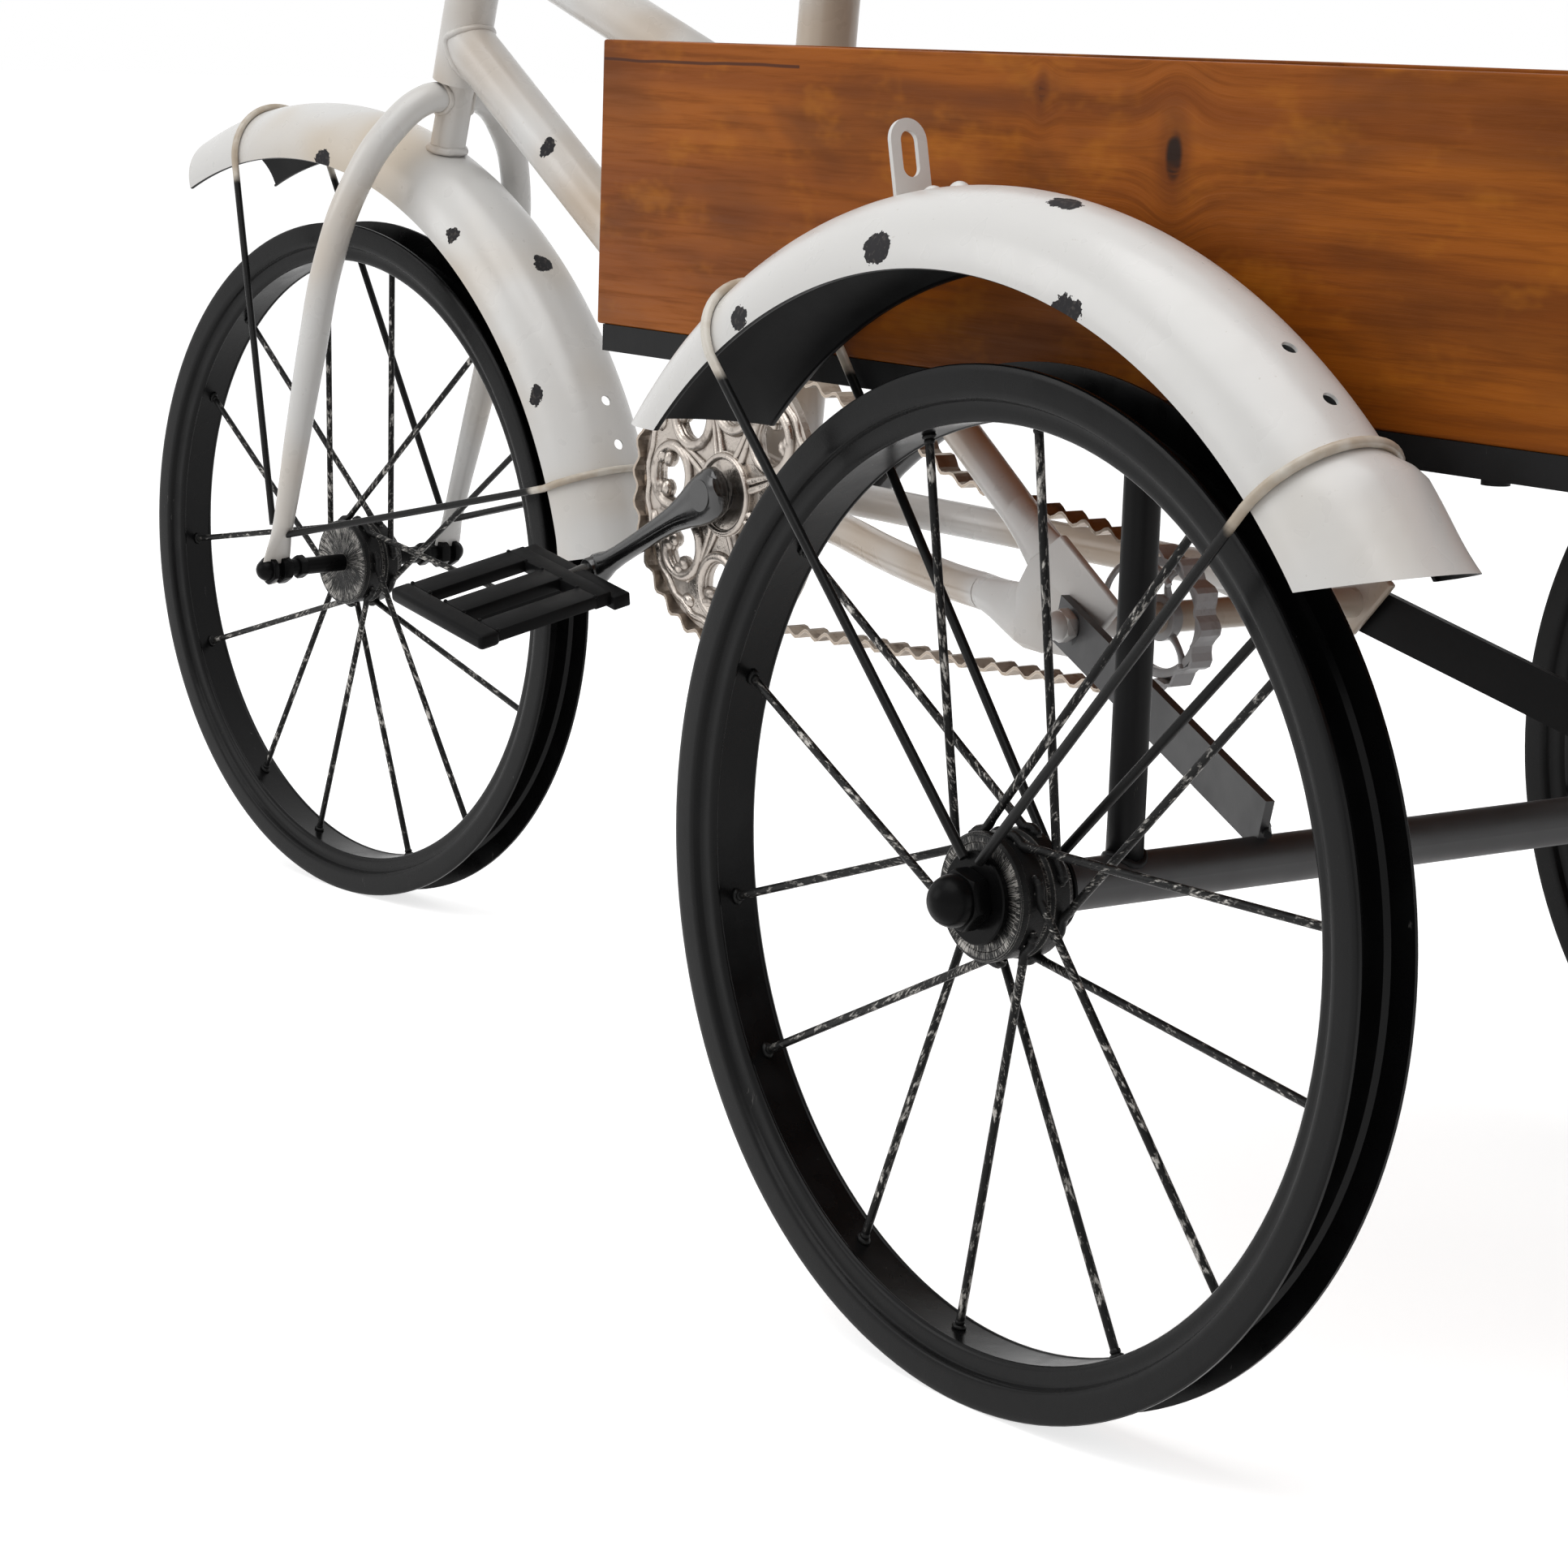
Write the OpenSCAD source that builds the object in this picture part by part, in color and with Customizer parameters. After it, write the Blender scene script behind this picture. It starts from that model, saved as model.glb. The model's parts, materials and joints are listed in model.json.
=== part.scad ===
/* [Wheels] */
// Radius of each wheel, to the rim's outer edge
wheel_r = 200; // [185:1:210]
// Width of the rim
rim_w = 30; // [24:1:36]
// Depth of the rim from its outer edge to its inner face
rim_depth = 22; // [16:1:26]
// Thickness of the rim's pressed wall
rim_wall = 2.6; // [2:0.1:3.5]
// Width of the flat well on the rim's inner face
rim_well_w = 19; // [14:1:22]
// Distance from the rear axle to the front wheel's centre
wheelbase = 910; // [880:5:960]
// Gap from the box side to the middle of a rear wheel
wheel_gap = 31; // [31:1:38]

/* [Spokes and hubs] */
// Number of spokes that lean each way
spokes_each_way = 7; // [4:1:9]
// Diameter of a spoke
spoke_d = 3.5; // [2.5:0.1:4.5]
// Angle from a spoke's rim end to its hub end
spoke_lead = 57; // [40:1:65]
// Angle between the two sets of spokes at the rim
spoke_shift = 21; // [15:1:30]
// Angle of the first spoke of the rear wheels
rear_spoke_angle = 161; // [0:1:360]
// Angle of the first spoke of the front wheel
front_spoke_angle = 152; // [0:1:360]
// Diameter of the hub's drum
hub_d = 50; // [44:1:60]
// Length of the hub's drum
hub_drum_len = 24; // [18:0.5:26]
// Diameter of the hub's inner collar
hub_collar_d = 34; // [26:1:40]
// Length of the hub's inner collar
hub_collar_len = 8.5; // [6:0.5:14]
// Distance from the middle of the wheel to the hub's outer face
hub_out = 14.7; // [12:0.1:18]

/* [Rear axle] */
// Diameter of the axle tube
axle_tube_d = 20; // [18:0.5:24]
// Bore of the axle tube
axle_tube_bore = 16; // [13:0.5:16]
// Diameter of the rear axle studs
stud_d = 12; // [10:0.5:12]
// Length of a stud's plug in the axle tube
stud_plug_len = 30; // [20:1:60]
// Diameter of the washers beside the rear hubs
washer_d = 36; // [30:1:40]
// Thickness of those washers
washer_t = 3; // [2:0.5:4]
// Width of the domed nut across its corners
nut_d = 23; // [20:0.5:26]
// Length of the hexagon of the domed nut
nut_hex_len = 10; // [7:0.5:12]
// Diameter of the nut's dome
nut_dome_d = 19.5; // [16:0.5:19.5]

/* [Fork and steering] */
// Tilt of the steering axis, back from upright
head_tilt = 15.5; // [12:0.5:20]
// How far the steering axis is ahead of the front wheel's centre, at axle height, backwards
fork_offset = 18.3; // [10:0.1:30]
// Angle that the front wheel is turned to the left
steer = 4.9; // [0:0.1:20]
// Outer diameter of the head tube
head_tube_d = 29.5; // [29.5:0.5:34]
// Length of the head tube
head_tube_len = 119; // [110:1:140]
// Diameter of the fork's steerer
steerer_d = 20; // [18:0.5:22]
// Length of steerer that shows between the front mudguard and the head tube
stub_len = 39.5; // [38:0.5:50]
// Diameter of the fork blades at the top
blade_d = 17; // [15:0.5:18]
// Distance from the centre to a fork end's middle
fork_end_y = 62; // [60:0.5:70]
// Thickness of a fork end
fork_end_t = 4; // [3:0.5:5]
// Diameter of the front axle
front_axle_d = 10; // [8:0.5:12]
// Width of the front nuts across their corners
front_nut_d = 18; // [16:0.5:20]

/* [Frame tubes] */
// Diameter of the down tube and the top tube
frame_tube_d = 29; // [26:0.5:29]
// Diameter of the seat tube
tube_d = 30; // [29.5:0.5:34]
// Distance from the rear axle to the crank axle
crank_back = 490; // [480:1:500]
// Height of the crank axle above the rear axle
crank_up = 88; // [80:1:96]
// Lean of the seat tube, back from upright
seat_lean = 5; // [3:0.5:9]
// Length of the seat tube above the crank axle
seat_tube_len = 287; // [270:1:320]
// Place of the down tube on the head tube, from the head tube's lower end
down_tube_up = 25; // [20:1:35]
// Place of the down tube on the seat tube, from the crank axle
down_tube_seat = 20.3; // [15:0.1:24]
// Place of the top tube on the head tube, from the head tube's lower end
top_tube_up = 88.5; // [75:0.5:95]
// Place of the top tube on the seat tube, from the crank axle
top_tube_seat = 177; // [160:1:190]
// Place of the seatstays on the seat tube, from the crank axle
seatstay_seat = 150; // [130:1:155]
// Diameter of the seatstays and chainstays
stay_d = 17; // [14:0.5:17.5]
// Distance from the rear axle to the dropout bolts
dropout_back = 163; // [155:1:175]
// Height of the dropout bolts above the rear axle
dropout_up = 70; // [65:1:75]
// Distance from the centre to the outer face of a dropout plate
dropout_y = 84; // [80:1:95]
// Thickness of a dropout plate
dropout_t = 4; // [3:0.5:5]
// Diameter of the bottom bracket shell
shell_d = 38; // [34:1:44]
// Half of the length of the bottom bracket shell
shell_half = 30; // [26:1:32]
// Outer diameter of the spacer tube between the dropouts
spacer_d = 14; // [12:0.5:18]

/* [Drive] */
// Distance from the centre plane to the middle of the chain strip
chain_y = 36; // [36:0.5:37]
// Radius of the chain strip round the chainring
ring_path_r = 76; // [70:1:80]
// Radius of the chain strip round the rear sprocket
sprocket_path_r = 29; // [26:0.5:32]
// Width of the chain strip
strip_w = 12; // [8:0.5:12]
// Thickness of the chain strip
strip_t = 1.6; // [1:0.1:2]
// Length of one wave of the chain strip
wave_pitch = 16; // [12:0.5:20]
// Height of the waves from their middle line
wave_h = 2; // [1:0.1:3]
// Number of round openings in the chainring
ring_holes = 8; // [5:1:8]
// Radius of each opening
ring_hole_r = 13; // [10:0.5:13]
// Radius of the circle through the middles of the openings
ring_hole_pitch_r = 48; // [46:0.5:50]
// Thickness of the chainring's plate
ring_t = 4; // [3:0.5:5]
// Diameter of the crank axle
crank_axle_d = 16; // [14:0.5:18]
// Length of a crank arm from axle to pedal spindle
crank_len = 108; // [95:1:115]
// Distance from the centre to the inner face of a crank arm
crank_in = 42.5; // [42.5:0.1:48]
// Thickness of a crank arm at the axle
crank_t = 13; // [11:0.5:15]
// Direction of the left crank arm, from straight back, upwards
left_crank_angle = 207.5; // [190:0.5:220]
// Direction of the right crank arm, from straight back, upwards
right_crank_angle = 31; // [20:0.5:40]
// Length of a pedal along its spindle
pedal_len = 92; // [80:1:100]
// Width of a pedal
pedal_w = 80; // [70:1:90]
// Thickness of a pedal
pedal_t = 13; // [12:0.5:16]
// Width of each slot in a pedal
pedal_slot_w = 15; // [10:0.5:18]
// Diameter of a pedal spindle
spindle_d = 9; // [7:0.5:9.5]
// Droop of the left pedal's spindle, outwards and down
left_pedal_droop = 16; // [0:1:18]
// Turn of the left pedal about its spindle
left_pedal_turn = 7; // [-20:1:20]

/* [Rear carrier] */
// Half of the width of the box and of the frame under it
box_half_w = 224; // [214:1:236]
// Half of the length of the wooden box
box_half_l = 335; // [325:5:360]
// Distance from the rear axle forwards to the middle of the box
box_ahead = 0; // [-10:1:5]
// Height of the underside of the box frame above the rear axle
rail_up = 177.5; // [176:0.5:190]
// Height of the bars of the box frame
rail_h = 11.5; // [10:0.5:14]
// Width of the bars of the box frame
rail_w = 12; // [10:0.5:14]
// How far the box frame stands back from the ends of the box
rail_inset = 5; // [2:0.5:8]
// Diameter of the uprights
upright_d = 19; // [16:0.5:22]
// Distance from the box side in to the middle of an upright
upright_in = 26; // [22:1:40]
// Width of the straps from the dropouts to the axle tube
strap_w = 22; // [18:0.5:25]
// Thickness of those straps
strap_t = 4; // [3:0.5:5]
// Distance from the centre to a strap's end on the axle tube
strap_y = 128; // [115:1:140]

/* [Wooden box] */
// Height of the box's boards
board_h = 123; // [110:1:140]
// Thickness of the box's boards
board_t = 12; // [10:0.5:15]
// Diameter of the screws under the box
screw_d = 5; // [4:0.5:6]
// Distance from the middle of the box to a screw
screw_x = 199; // [150:1:220]

/* [Mudguards] */
// Gap from the wheel's edge to the rear mudguard's edges, at the crown of the arc
guard_gap = 48; // [45:1:60]
// Half of the width of a rear mudguard
guard_half_w = 30.5; // [28:0.5:30.5]
// Thickness of the mudguard's sheet
guard_wall = 1.2; // [0.8:0.1:2]
// How far the rear mudguard's arc centre is ahead of the axle
guard_ahead = 15; // [5:1:20]
// How far the rear mudguard's arc centre is below the axle
guard_down = 14; // [5:1:20]
// Angle of the rear mudguard's rear end, up from straight back
guard_rear_end = 38.5; // [30:0.5:42]
// Angle of the rear mudguard's front end
guard_front_end = 135; // [128:0.5:140]
// Gap from the wheel's edge to the front mudguard's edges
front_guard_gap = 62; // [55:1:65]
// Half of the width of the front mudguard
front_guard_half_w = 31.5; // [28:0.5:33]
// Angle of the front mudguard's rear end
front_guard_rear_end = 12; // [8:0.5:18]
// Angle of the front mudguard's front end
front_guard_front_end = 114; // [108:0.5:125]
// Diameter of the wire stays
wire_d = 4; // [3:0.1:4]
// Diameter of the small holes in the mudguards
guard_hole_d = 6; // [4:0.5:8]
// Width of a slotted tab on a rear mudguard
tab_w = 17.5; // [14:0.5:20]
// Height of a slotted tab above the mudguard
tab_h = 30; // [26:0.5:36]
// Width of the slot in the tab
tab_slot_w = 8; // [5:0.5:9]
// Length of the slot in the tab
tab_slot_len = 18; // [12:0.5:19]
// Diameter of the domed rivets
rivet_d = 9; // [7:0.5:11]

/* [Handlebar and saddle] */
// Diameter of the handlebar
bar_d = 18; // [16:0.5:22]
// Half of the handlebar's width at its grips
bar_half = 215; // [190:5:240]
// Height of the handlebar's middle above the head tube's upper end
bar_up = 92; // [85:1:120]
// Diameter of the grips
grip_d = 28; // [26:0.5:34]
// Length of the grips
grip_len = 100; // [90:1:115]
// Diameter of the seat post
post_d = 25; // [20:0.5:25]
// Length of seat post that shows
post_up = 50; // [40:1:80]
// Length of the saddle
saddle_len = 235; // [200:5:260]
// Width of the saddle at its back
saddle_w = 150; // [120:5:180]
// Height of the saddle
saddle_h = 24; // [16:1:34]

/* [Fits] */
// Radial clearance of a part that turns on a shaft
run_gap = 0.05; // [0.03:0.01:0.1]
// Gap between a part that turns and the face beside it
face_gap = 0.3; // [0.3:0.1:1]
// Depth to which a welded end sinks into what it is welded to
weld = 1; // [0.5:0.1:1.5]

/* [Hidden] */
$fn = 72;

// Colours
cream = "ivory";
black = [0.09, 0.09, 0.1];
steel = [0.65, 0.62, 0.58];
pine = [0.62, 0.32, 0.12];

// Places: x runs back, y to the right, z up, all from the middle of the rear axle
wheel_y = box_half_w + wheel_gap;
wheel_reach = wheel_r * cos(steer) + rim_w / 2 * sin(steer);
rear_x = (wheelbase + wheel_reach - box_half_l + box_ahead) / 2;
rim_in = wheel_r - rim_depth;
hub_in = hub_out - hub_drum_len - hub_collar_len;
axle_end_y = wheel_y + hub_in - face_gap - washer_t / 2;
lean = asin(sin(head_tilt) * sin(steer));
front_up = wheel_r * (cos(lean) - 1) + rim_w / 2 * sin(lean);
front_centre = [-wheelbase, 0, front_up];

// The steering axis, and places along it
head_dir = [sin(head_tilt), 0, cos(head_tilt)];
head_base = [-wheelbase + fork_offset, 0, 0];
front_guard_centre = [-wheelbase - 25, 0, -25];
front_edge_r = wheel_r + front_guard_gap;
front_ridge_r = front_edge_r + front_guard_half_w;
to_guard = head_base - front_guard_centre;
along_axis = to_guard * head_dir;
ridge_s = -along_axis + sqrt(along_axis * along_axis - to_guard * to_guard + front_ridge_r * front_ridge_r);
head_low_s = ridge_s + stub_len;
head_high_s = head_low_s + head_tube_len;
bar_s = head_high_s + bar_up;
stem_d = steerer_d + 6;
stem_low_s = head_high_s + face_gap;
steerer_top_s = head_high_s + bar_up / 2;
function on_head(s) = head_base + s * head_dir;
head_low = on_head(head_low_s);
head_high = on_head(head_high_s);

// The crank axle, the seat tube and the dropouts
crank = [-crank_back, 0, crank_up];
seat_dir = [sin(seat_lean), 0, cos(seat_lean)];
function on_seat(s) = crank + s * seat_dir;
seat_top = on_seat(seat_tube_len);
saddle_base = on_seat(seat_tube_len + post_up);
post_depth = 60;
stay_end_y = dropout_y - dropout_t - 6;
drop_at = [-dropout_back, 0, dropout_up];
seatstay_low = drop_at + [-14, -stay_end_y, 12];
seatstay_high = on_seat(seatstay_seat) - [0, tube_d / 2 - 1, 0];
plate_outline = [[-16, 37], [24, 10.5], [0, -15.5], [-26, -15], [-52, -10.5], [-54, 17.5]];
drop_bolt_d = 8;
bolt_stand = 2.6;

// Drive
ring_plate_r = ring_path_r - wave_h - strip_t / 2;
sprocket_r = sprocket_path_r - wave_h - strip_t / 2;
crank_out = crank_in + crank_t;
crank_end_in = crank_in + 3;
crank_end_t = 11;
arm_d = 12;
function crank_end(angle, y) = crank + [crank_len * cos(angle), y, crank_len * sin(angle)];
left_spindle_at = crank_end(left_crank_angle, -(crank_end_in + crank_end_t));
right_spindle_at = crank_end(right_crank_angle, crank_end_in + crank_end_t);
spindle_len = pedal_len + 8;
pedal_off = 4;

// Rear carrier and box
rail_top = rail_up + rail_h;
box_front = -box_half_l - box_ahead;
box_rear = box_half_l - box_ahead;
upright_y = box_half_w - upright_in;
rail_y = box_half_w - rail_w / 2;
floor_t = board_t;

// Rear mudguards
guard_centre = [-guard_ahead, 0, -guard_down];
guard_y = wheel_y + 4.5;
guard_edge_r = wheel_r + guard_gap;
guard_ridge_r = guard_edge_r + guard_half_w;
stay_front_angle = 124;
stay_rear_angle = 46.5;
tab_angle = 103;
rivet_angles = [100.5, 97.2];
crown_offset = 6.5;
hole_angles = [56.3, 50.9];
front_hole_angles = [28.8, 23.8];
front_stay_angles = [21, 102];
outer_washer_y = wheel_y + hub_out + face_gap;
wire_sink = 0.2;

// Shared shapes
module cart() { translate([rear_x, 0, wheel_r]) children(); }
module along(a, b) {
    v = b - a;
    translate(a) rotate([0, acos(v[2] / norm(v)), atan2(v[1], v[0])]) children();
}
module rod(a, b, d, d_end = 0) {
    along(a, b) cylinder(h = norm(b - a), d1 = d, d2 = d_end > 0 ? d_end : d);
}
// A ball at a bend, with its poles along the rod that goes on to the next point
module ball(p, d, next) { along(p, next) sphere(d = d + 0.1, $fn = 28); }
module bent_rod(points, d) {
    last = len(points) - 1;
    for (i = [0:last - 1]) rod(points[i], points[i + 1], d);
    for (i = [1:last - 1]) ball(points[i], d, points[i + 1]);
}
module crosswise(y0, y1, d) {
    translate([0, y0, 0]) rotate([-90, 0, 0]) cylinder(h = y1 - y0, d = d);
}
module cone_crosswise(y0, y1, d0, d1) {
    translate([0, y0, 0]) rotate([-90, 0, 0]) cylinder(h = y1 - y0, d1 = d0, d2 = d1);
}
module plate_xz(points, y0, y1) {
    translate([0, y1, 0]) rotate([90, 0, 0]) linear_extrude(y1 - y0) polygon(points);
}
module right_side() { mirror([0, 1, 0]) children(); }
module steered() {
    translate(head_base) rotate([0, head_tilt, 0]) rotate([0, 0, steer])
        rotate([0, -head_tilt, 0]) translate(-head_base) children();
}
module domed_nut(y, d, hex_len, dome_d) {
    translate([0, y, 0]) rotate([90, 0, 0]) {
        cylinder(h = hex_len, d = d, $fn = 6);
        translate([0, 0, hex_len - 0.5]) difference() {
            sphere(d = dome_d);
            translate([0, 0, -dome_d]) cylinder(h = dome_d, d = 2 * dome_d);
        }
    }
}

// A wheel, with its outer side towards -y and its middle at the origin
module rim() {
    w = rim_w / 2;
    well = rim_well_w / 2;
    shoulder = rim_in + rim_depth / 3;
    outer = [[rim_in, well], [rim_in + 2, w - 3.2], [shoulder, w - 1], [wheel_r - 3, w],
        [wheel_r, w - 0.8], [wheel_r, w - rim_wall], [wheel_r - 3, w - rim_wall],
        [shoulder + 1, w - 1 - rim_wall], [rim_in + 2 + rim_wall, w - 3.2 - rim_wall],
        [rim_in + rim_wall, well - rim_wall]];
    n = len(outer);
    other = [for (i = [n - 1:-1:0]) [outer[i][0], -outer[i][1]]];
    rotate([90, 0, 0]) rotate_extrude($fn = 120) polygon(concat(outer, other));
}
module hub(axle_d) {
    chamfer = 2;
    y0 = -hub_out;
    y1 = y0 + hub_drum_len;
    difference() {
        union() {
            cone_crosswise(y0, y0 + chamfer, hub_d - 2 * chamfer, hub_d);
            crosswise(y0 + chamfer, y1 - chamfer, hub_d);
            cone_crosswise(y1 - chamfer, y1, hub_d, hub_d - 2 * chamfer);
            crosswise(y1, y1 + hub_collar_len, hub_collar_d);
        }
        crosswise(y0 - 1, y1 + hub_collar_len + 1, axle_d + 2 * run_gap);
    }
}
module spoke(rim_angle, hub_angle, hub_y) {
    hub_end_r = hub_d / 2 - weld;
    rim_end_r = rim_in + weld;
    rod([hub_end_r * cos(hub_angle), hub_y, hub_end_r * sin(hub_angle)],
        [rim_end_r * cos(rim_angle), 0, rim_end_r * sin(rim_angle)], spoke_d);
}
module spokes(first) {
    out_y = -hub_out + 8;
    in_y = -hub_out + hub_drum_len - 4;
    for (i = [0:spokes_each_way - 1]) {
        a = first + i * 360 / spokes_each_way;
        spoke(a, a + spoke_lead, out_y);
        spoke(a - spoke_shift, a - spoke_shift - spoke_lead, in_y);
    }
}
module at_rear_wheel() { translate([0, -wheel_y, 0]) children(); }
module at_front_wheel() { steered() translate(front_centre) children(); }

// A mudguard's arc stands in the x-z plane with its crown outwards
module guard_band(edge_r, half_w, wall, from, to) {
    rotate([90, 0, 0]) rotate([0, 0, from]) rotate_extrude(angle = to - from, $fn = 120)
        translate([edge_r, 0]) difference() {
            circle(r = half_w);
            circle(r = half_w - wall);
            translate([-2 * half_w, -2 * half_w]) square([2 * half_w, 4 * half_w]);
        }
}
module guard_filled(edge_r, half_w, from, to) {
    rotate([90, 0, 0]) rotate([0, 0, from]) rotate_extrude(angle = to - from, $fn = 120)
        translate([edge_r, 0]) difference() {
            circle(r = half_w);
            translate([-2 * half_w, -2 * half_w]) square([2 * half_w, 4 * half_w]);
        }
}
// Local frame on a mudguard's arc: x points out from the arc's centre, y across
module at_guard(angle) { rotate([0, -angle, 0]) children(); }
module guard_hole(ridge_r, angle) {
    at_guard(angle) translate([ridge_r - 12, 0, 0]) rotate([0, 90, 0]) cylinder(h = 20, d = guard_hole_d);
}
// A wire over the crown, with a straight leg from each side down to its end
module wire_stay(centre, edge_r, half_w, angle, near_end, far_end) {
    r = half_w + wire_d / 2;
    foot = centre + edge_r * [cos(angle), 0, sin(angle)];
    translate(centre) at_guard(angle) translate([edge_r, 0, 0]) rotate([0, 0, -90])
        rotate_extrude(angle = 180) translate([r, 0]) circle(d = wire_d);
    for (leg = [[foot - [0, r, 0], near_end], [foot + [0, r, 0], far_end]]) {
        ball(leg[0], wire_d, leg[1]);
        rod(leg[0], leg[1], wire_d);
    }
}

// Frame
module head_tube() {
    cart() color(cream) difference() {
        rod(head_low, head_high, head_tube_d);
        rod(on_head(head_low_s - 1), on_head(head_high_s + 1), steerer_d + 2 * run_gap);
    }
}
module head_solid() { rod(head_low, head_high, head_tube_d); }
module shell_solid() { translate(crank) crosswise(-shell_half, shell_half, shell_d); }
module seat_solid() { rod(crank, seat_top, tube_d); }
module down_tube() {
    cart() color(cream) difference() {
        rod(on_head(head_low_s + down_tube_up), on_seat(down_tube_seat), frame_tube_d);
        head_solid();
        shell_solid();
        seat_solid();
    }
}
module top_tube() {
    cart() color(cream) difference() {
        rod(on_head(head_low_s + top_tube_up), on_seat(top_tube_seat), frame_tube_d);
        head_solid();
        seat_solid();
    }
}
module seat_tube() {
    cart() color(cream) difference() {
        seat_solid();
        shell_solid();
        rod(on_seat(seat_tube_len - post_depth), on_seat(seat_tube_len + 1), post_d);
    }
}
module bottom_bracket_shell() {
    cart() color(cream) difference() {
        shell_solid();
        translate(crank) crosswise(-shell_half - 1, shell_half + 1, crank_axle_d);
    }
}
module plate_solid() {
    translate(drop_at) plate_xz(plate_outline, -dropout_y, -dropout_y + dropout_t);
}
module seatstay() {
    difference() {
        rod(seatstay_low, seatstay_high, stay_d);
        seat_solid();
        plate_solid();
    }
}
module seatstay_left() { cart() color(cream) seatstay(); }
module seatstay_right() { cart() color(cream) right_side() seatstay(); }
module chainstay_left() {
    cart() color(cream) difference() {
        bent_rod([crank + [8, -14, -3], crank + [79, -24.5, -9.5], crank + [129, -36, -14],
            crank + [194, -52, -17], drop_at + [-42, -stay_end_y, 4]], stay_d);
        shell_solid();
        plate_solid();
    }
}
module chainstay_right() {
    cart() color(cream) difference() {
        rod(crank + [8, 14, 0], drop_at + [-42, stay_end_y, 4], stay_d);
        shell_solid();
        right_side() plate_solid();
    }
}
module dropout() {
    difference() {
        plate_solid();
        translate(drop_at) crosswise(-dropout_y - 1, -dropout_y + dropout_t + 1, drop_bolt_d);
    }
}
module dropout_left() { cart() color(cream) dropout(); }
module dropout_right() { cart() color(cream) right_side() dropout(); }
module spacer_tube() {
    inner = dropout_y - dropout_t;
    cart() color(cream) translate(drop_at) difference() {
        crosswise(-inner, inner, spacer_d);
        crosswise(-inner - 1, inner + 1, drop_bolt_d);
    }
}
// A bolt goes through strap, plate and into the spacer tube
module dropout_bolt() {
    head_y = dropout_y + strap_t + bolt_stand;
    translate(drop_at) {
        domed_nut(-head_y, 15, 6, 13);
        crosswise(-head_y, -dropout_y + 20, drop_bolt_d);
    }
}
module dropout_bolts() {
    cart() color(cream) {
        dropout_bolt();
        right_side() dropout_bolt();
    }
}

// Drive
module crank_axle() {
    cart() color(steel) translate(crank) crosswise(-crank_out, crank_out, crank_axle_d);
}
module crank_arm(angle, side) {
    mid = side * (crank_in + crank_t / 2);
    end = side * (crank_end_in + crank_end_t / 2);
    direction = [cos(angle), 0, sin(angle)];
    difference() {
        union() {
            translate(crank) crosswise(mid - crank_t / 2, mid + crank_t / 2, 27);
            rod(crank + 10 * direction + [0, mid, 0], crank_end(angle, end) - 6 * direction,
                arm_d, arm_d - 1.5);
            translate(crank_end(angle, 0)) crosswise(end - crank_end_t / 2, end + crank_end_t / 2, 18);
        }
        translate(crank) crosswise(mid - crank_t, mid + crank_t, crank_axle_d);
    }
}
module crank_arm_left() { cart() color(black) crank_arm(left_crank_angle, -1); }
module crank_arm_right() { cart() color(black) crank_arm(right_crank_angle, 1); }
module at_left_pedal() { translate(left_spindle_at) rotate([left_pedal_droop, 0, 0]) children(); }
module at_right_pedal() { translate(right_spindle_at) rotate([0, 0, 180]) children(); }
module spindle() { crosswise(-spindle_len, 3, spindle_d); }
module pedal_spindles() {
    cart() color(steel) {
        at_left_pedal() spindle();
        at_right_pedal() spindle();
    }
}
module pedal() {
    slot_len = pedal_len - 24;
    slot_mid = (pedal_w / 2 - 9 + (spindle_d + 6) / 2) / 2;
    difference() {
        translate([-pedal_w / 2, -pedal_off - pedal_len, -pedal_t / 2]) cube([pedal_w, pedal_len, pedal_t]);
        for (side = [-1, 1])
            translate([side * slot_mid - pedal_slot_w / 2, -pedal_off - 12 - slot_len, -pedal_t])
                cube([pedal_slot_w, slot_len, 2 * pedal_t]);
        crosswise(-spindle_len - face_gap, 0, spindle_d + 2 * run_gap);
    }
}
module left_pedal() { cart() color(black) at_left_pedal() rotate([0, left_pedal_turn, 0]) pedal(); }
module right_pedal() { cart() color(black) at_right_pedal() pedal(); }
module chainring() {
    hub_r = 22;
    cart() color(steel) translate(crank + [0, -chain_y, 0]) difference() {
        union() {
            difference() {
                crosswise(-ring_t / 2, ring_t / 2, 2 * ring_plate_r);
                for (i = [0:ring_holes - 1]) rotate([0, 5.5 - i * 360 / ring_holes, 0])
                    translate([ring_hole_pitch_r, 0, 0]) crosswise(-ring_t, ring_t, 2 * ring_hole_r);
            }
            for (i = [0:ring_holes - 1]) rotate([0, 5.5 - i * 360 / ring_holes, 0])
                translate([ring_hole_pitch_r, 0, 0]) rotate([90, 0, 0])
                    rotate_extrude() translate([ring_hole_r + 1.5, 0]) circle(r = ring_t / 2 + 0.8);
            crosswise(-ring_t / 2 - 2, ring_t / 2 + 2, 2 * hub_r);
        }
        crosswise(-ring_t - 2, ring_t + 2, crank_axle_d);
    }
}

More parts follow.
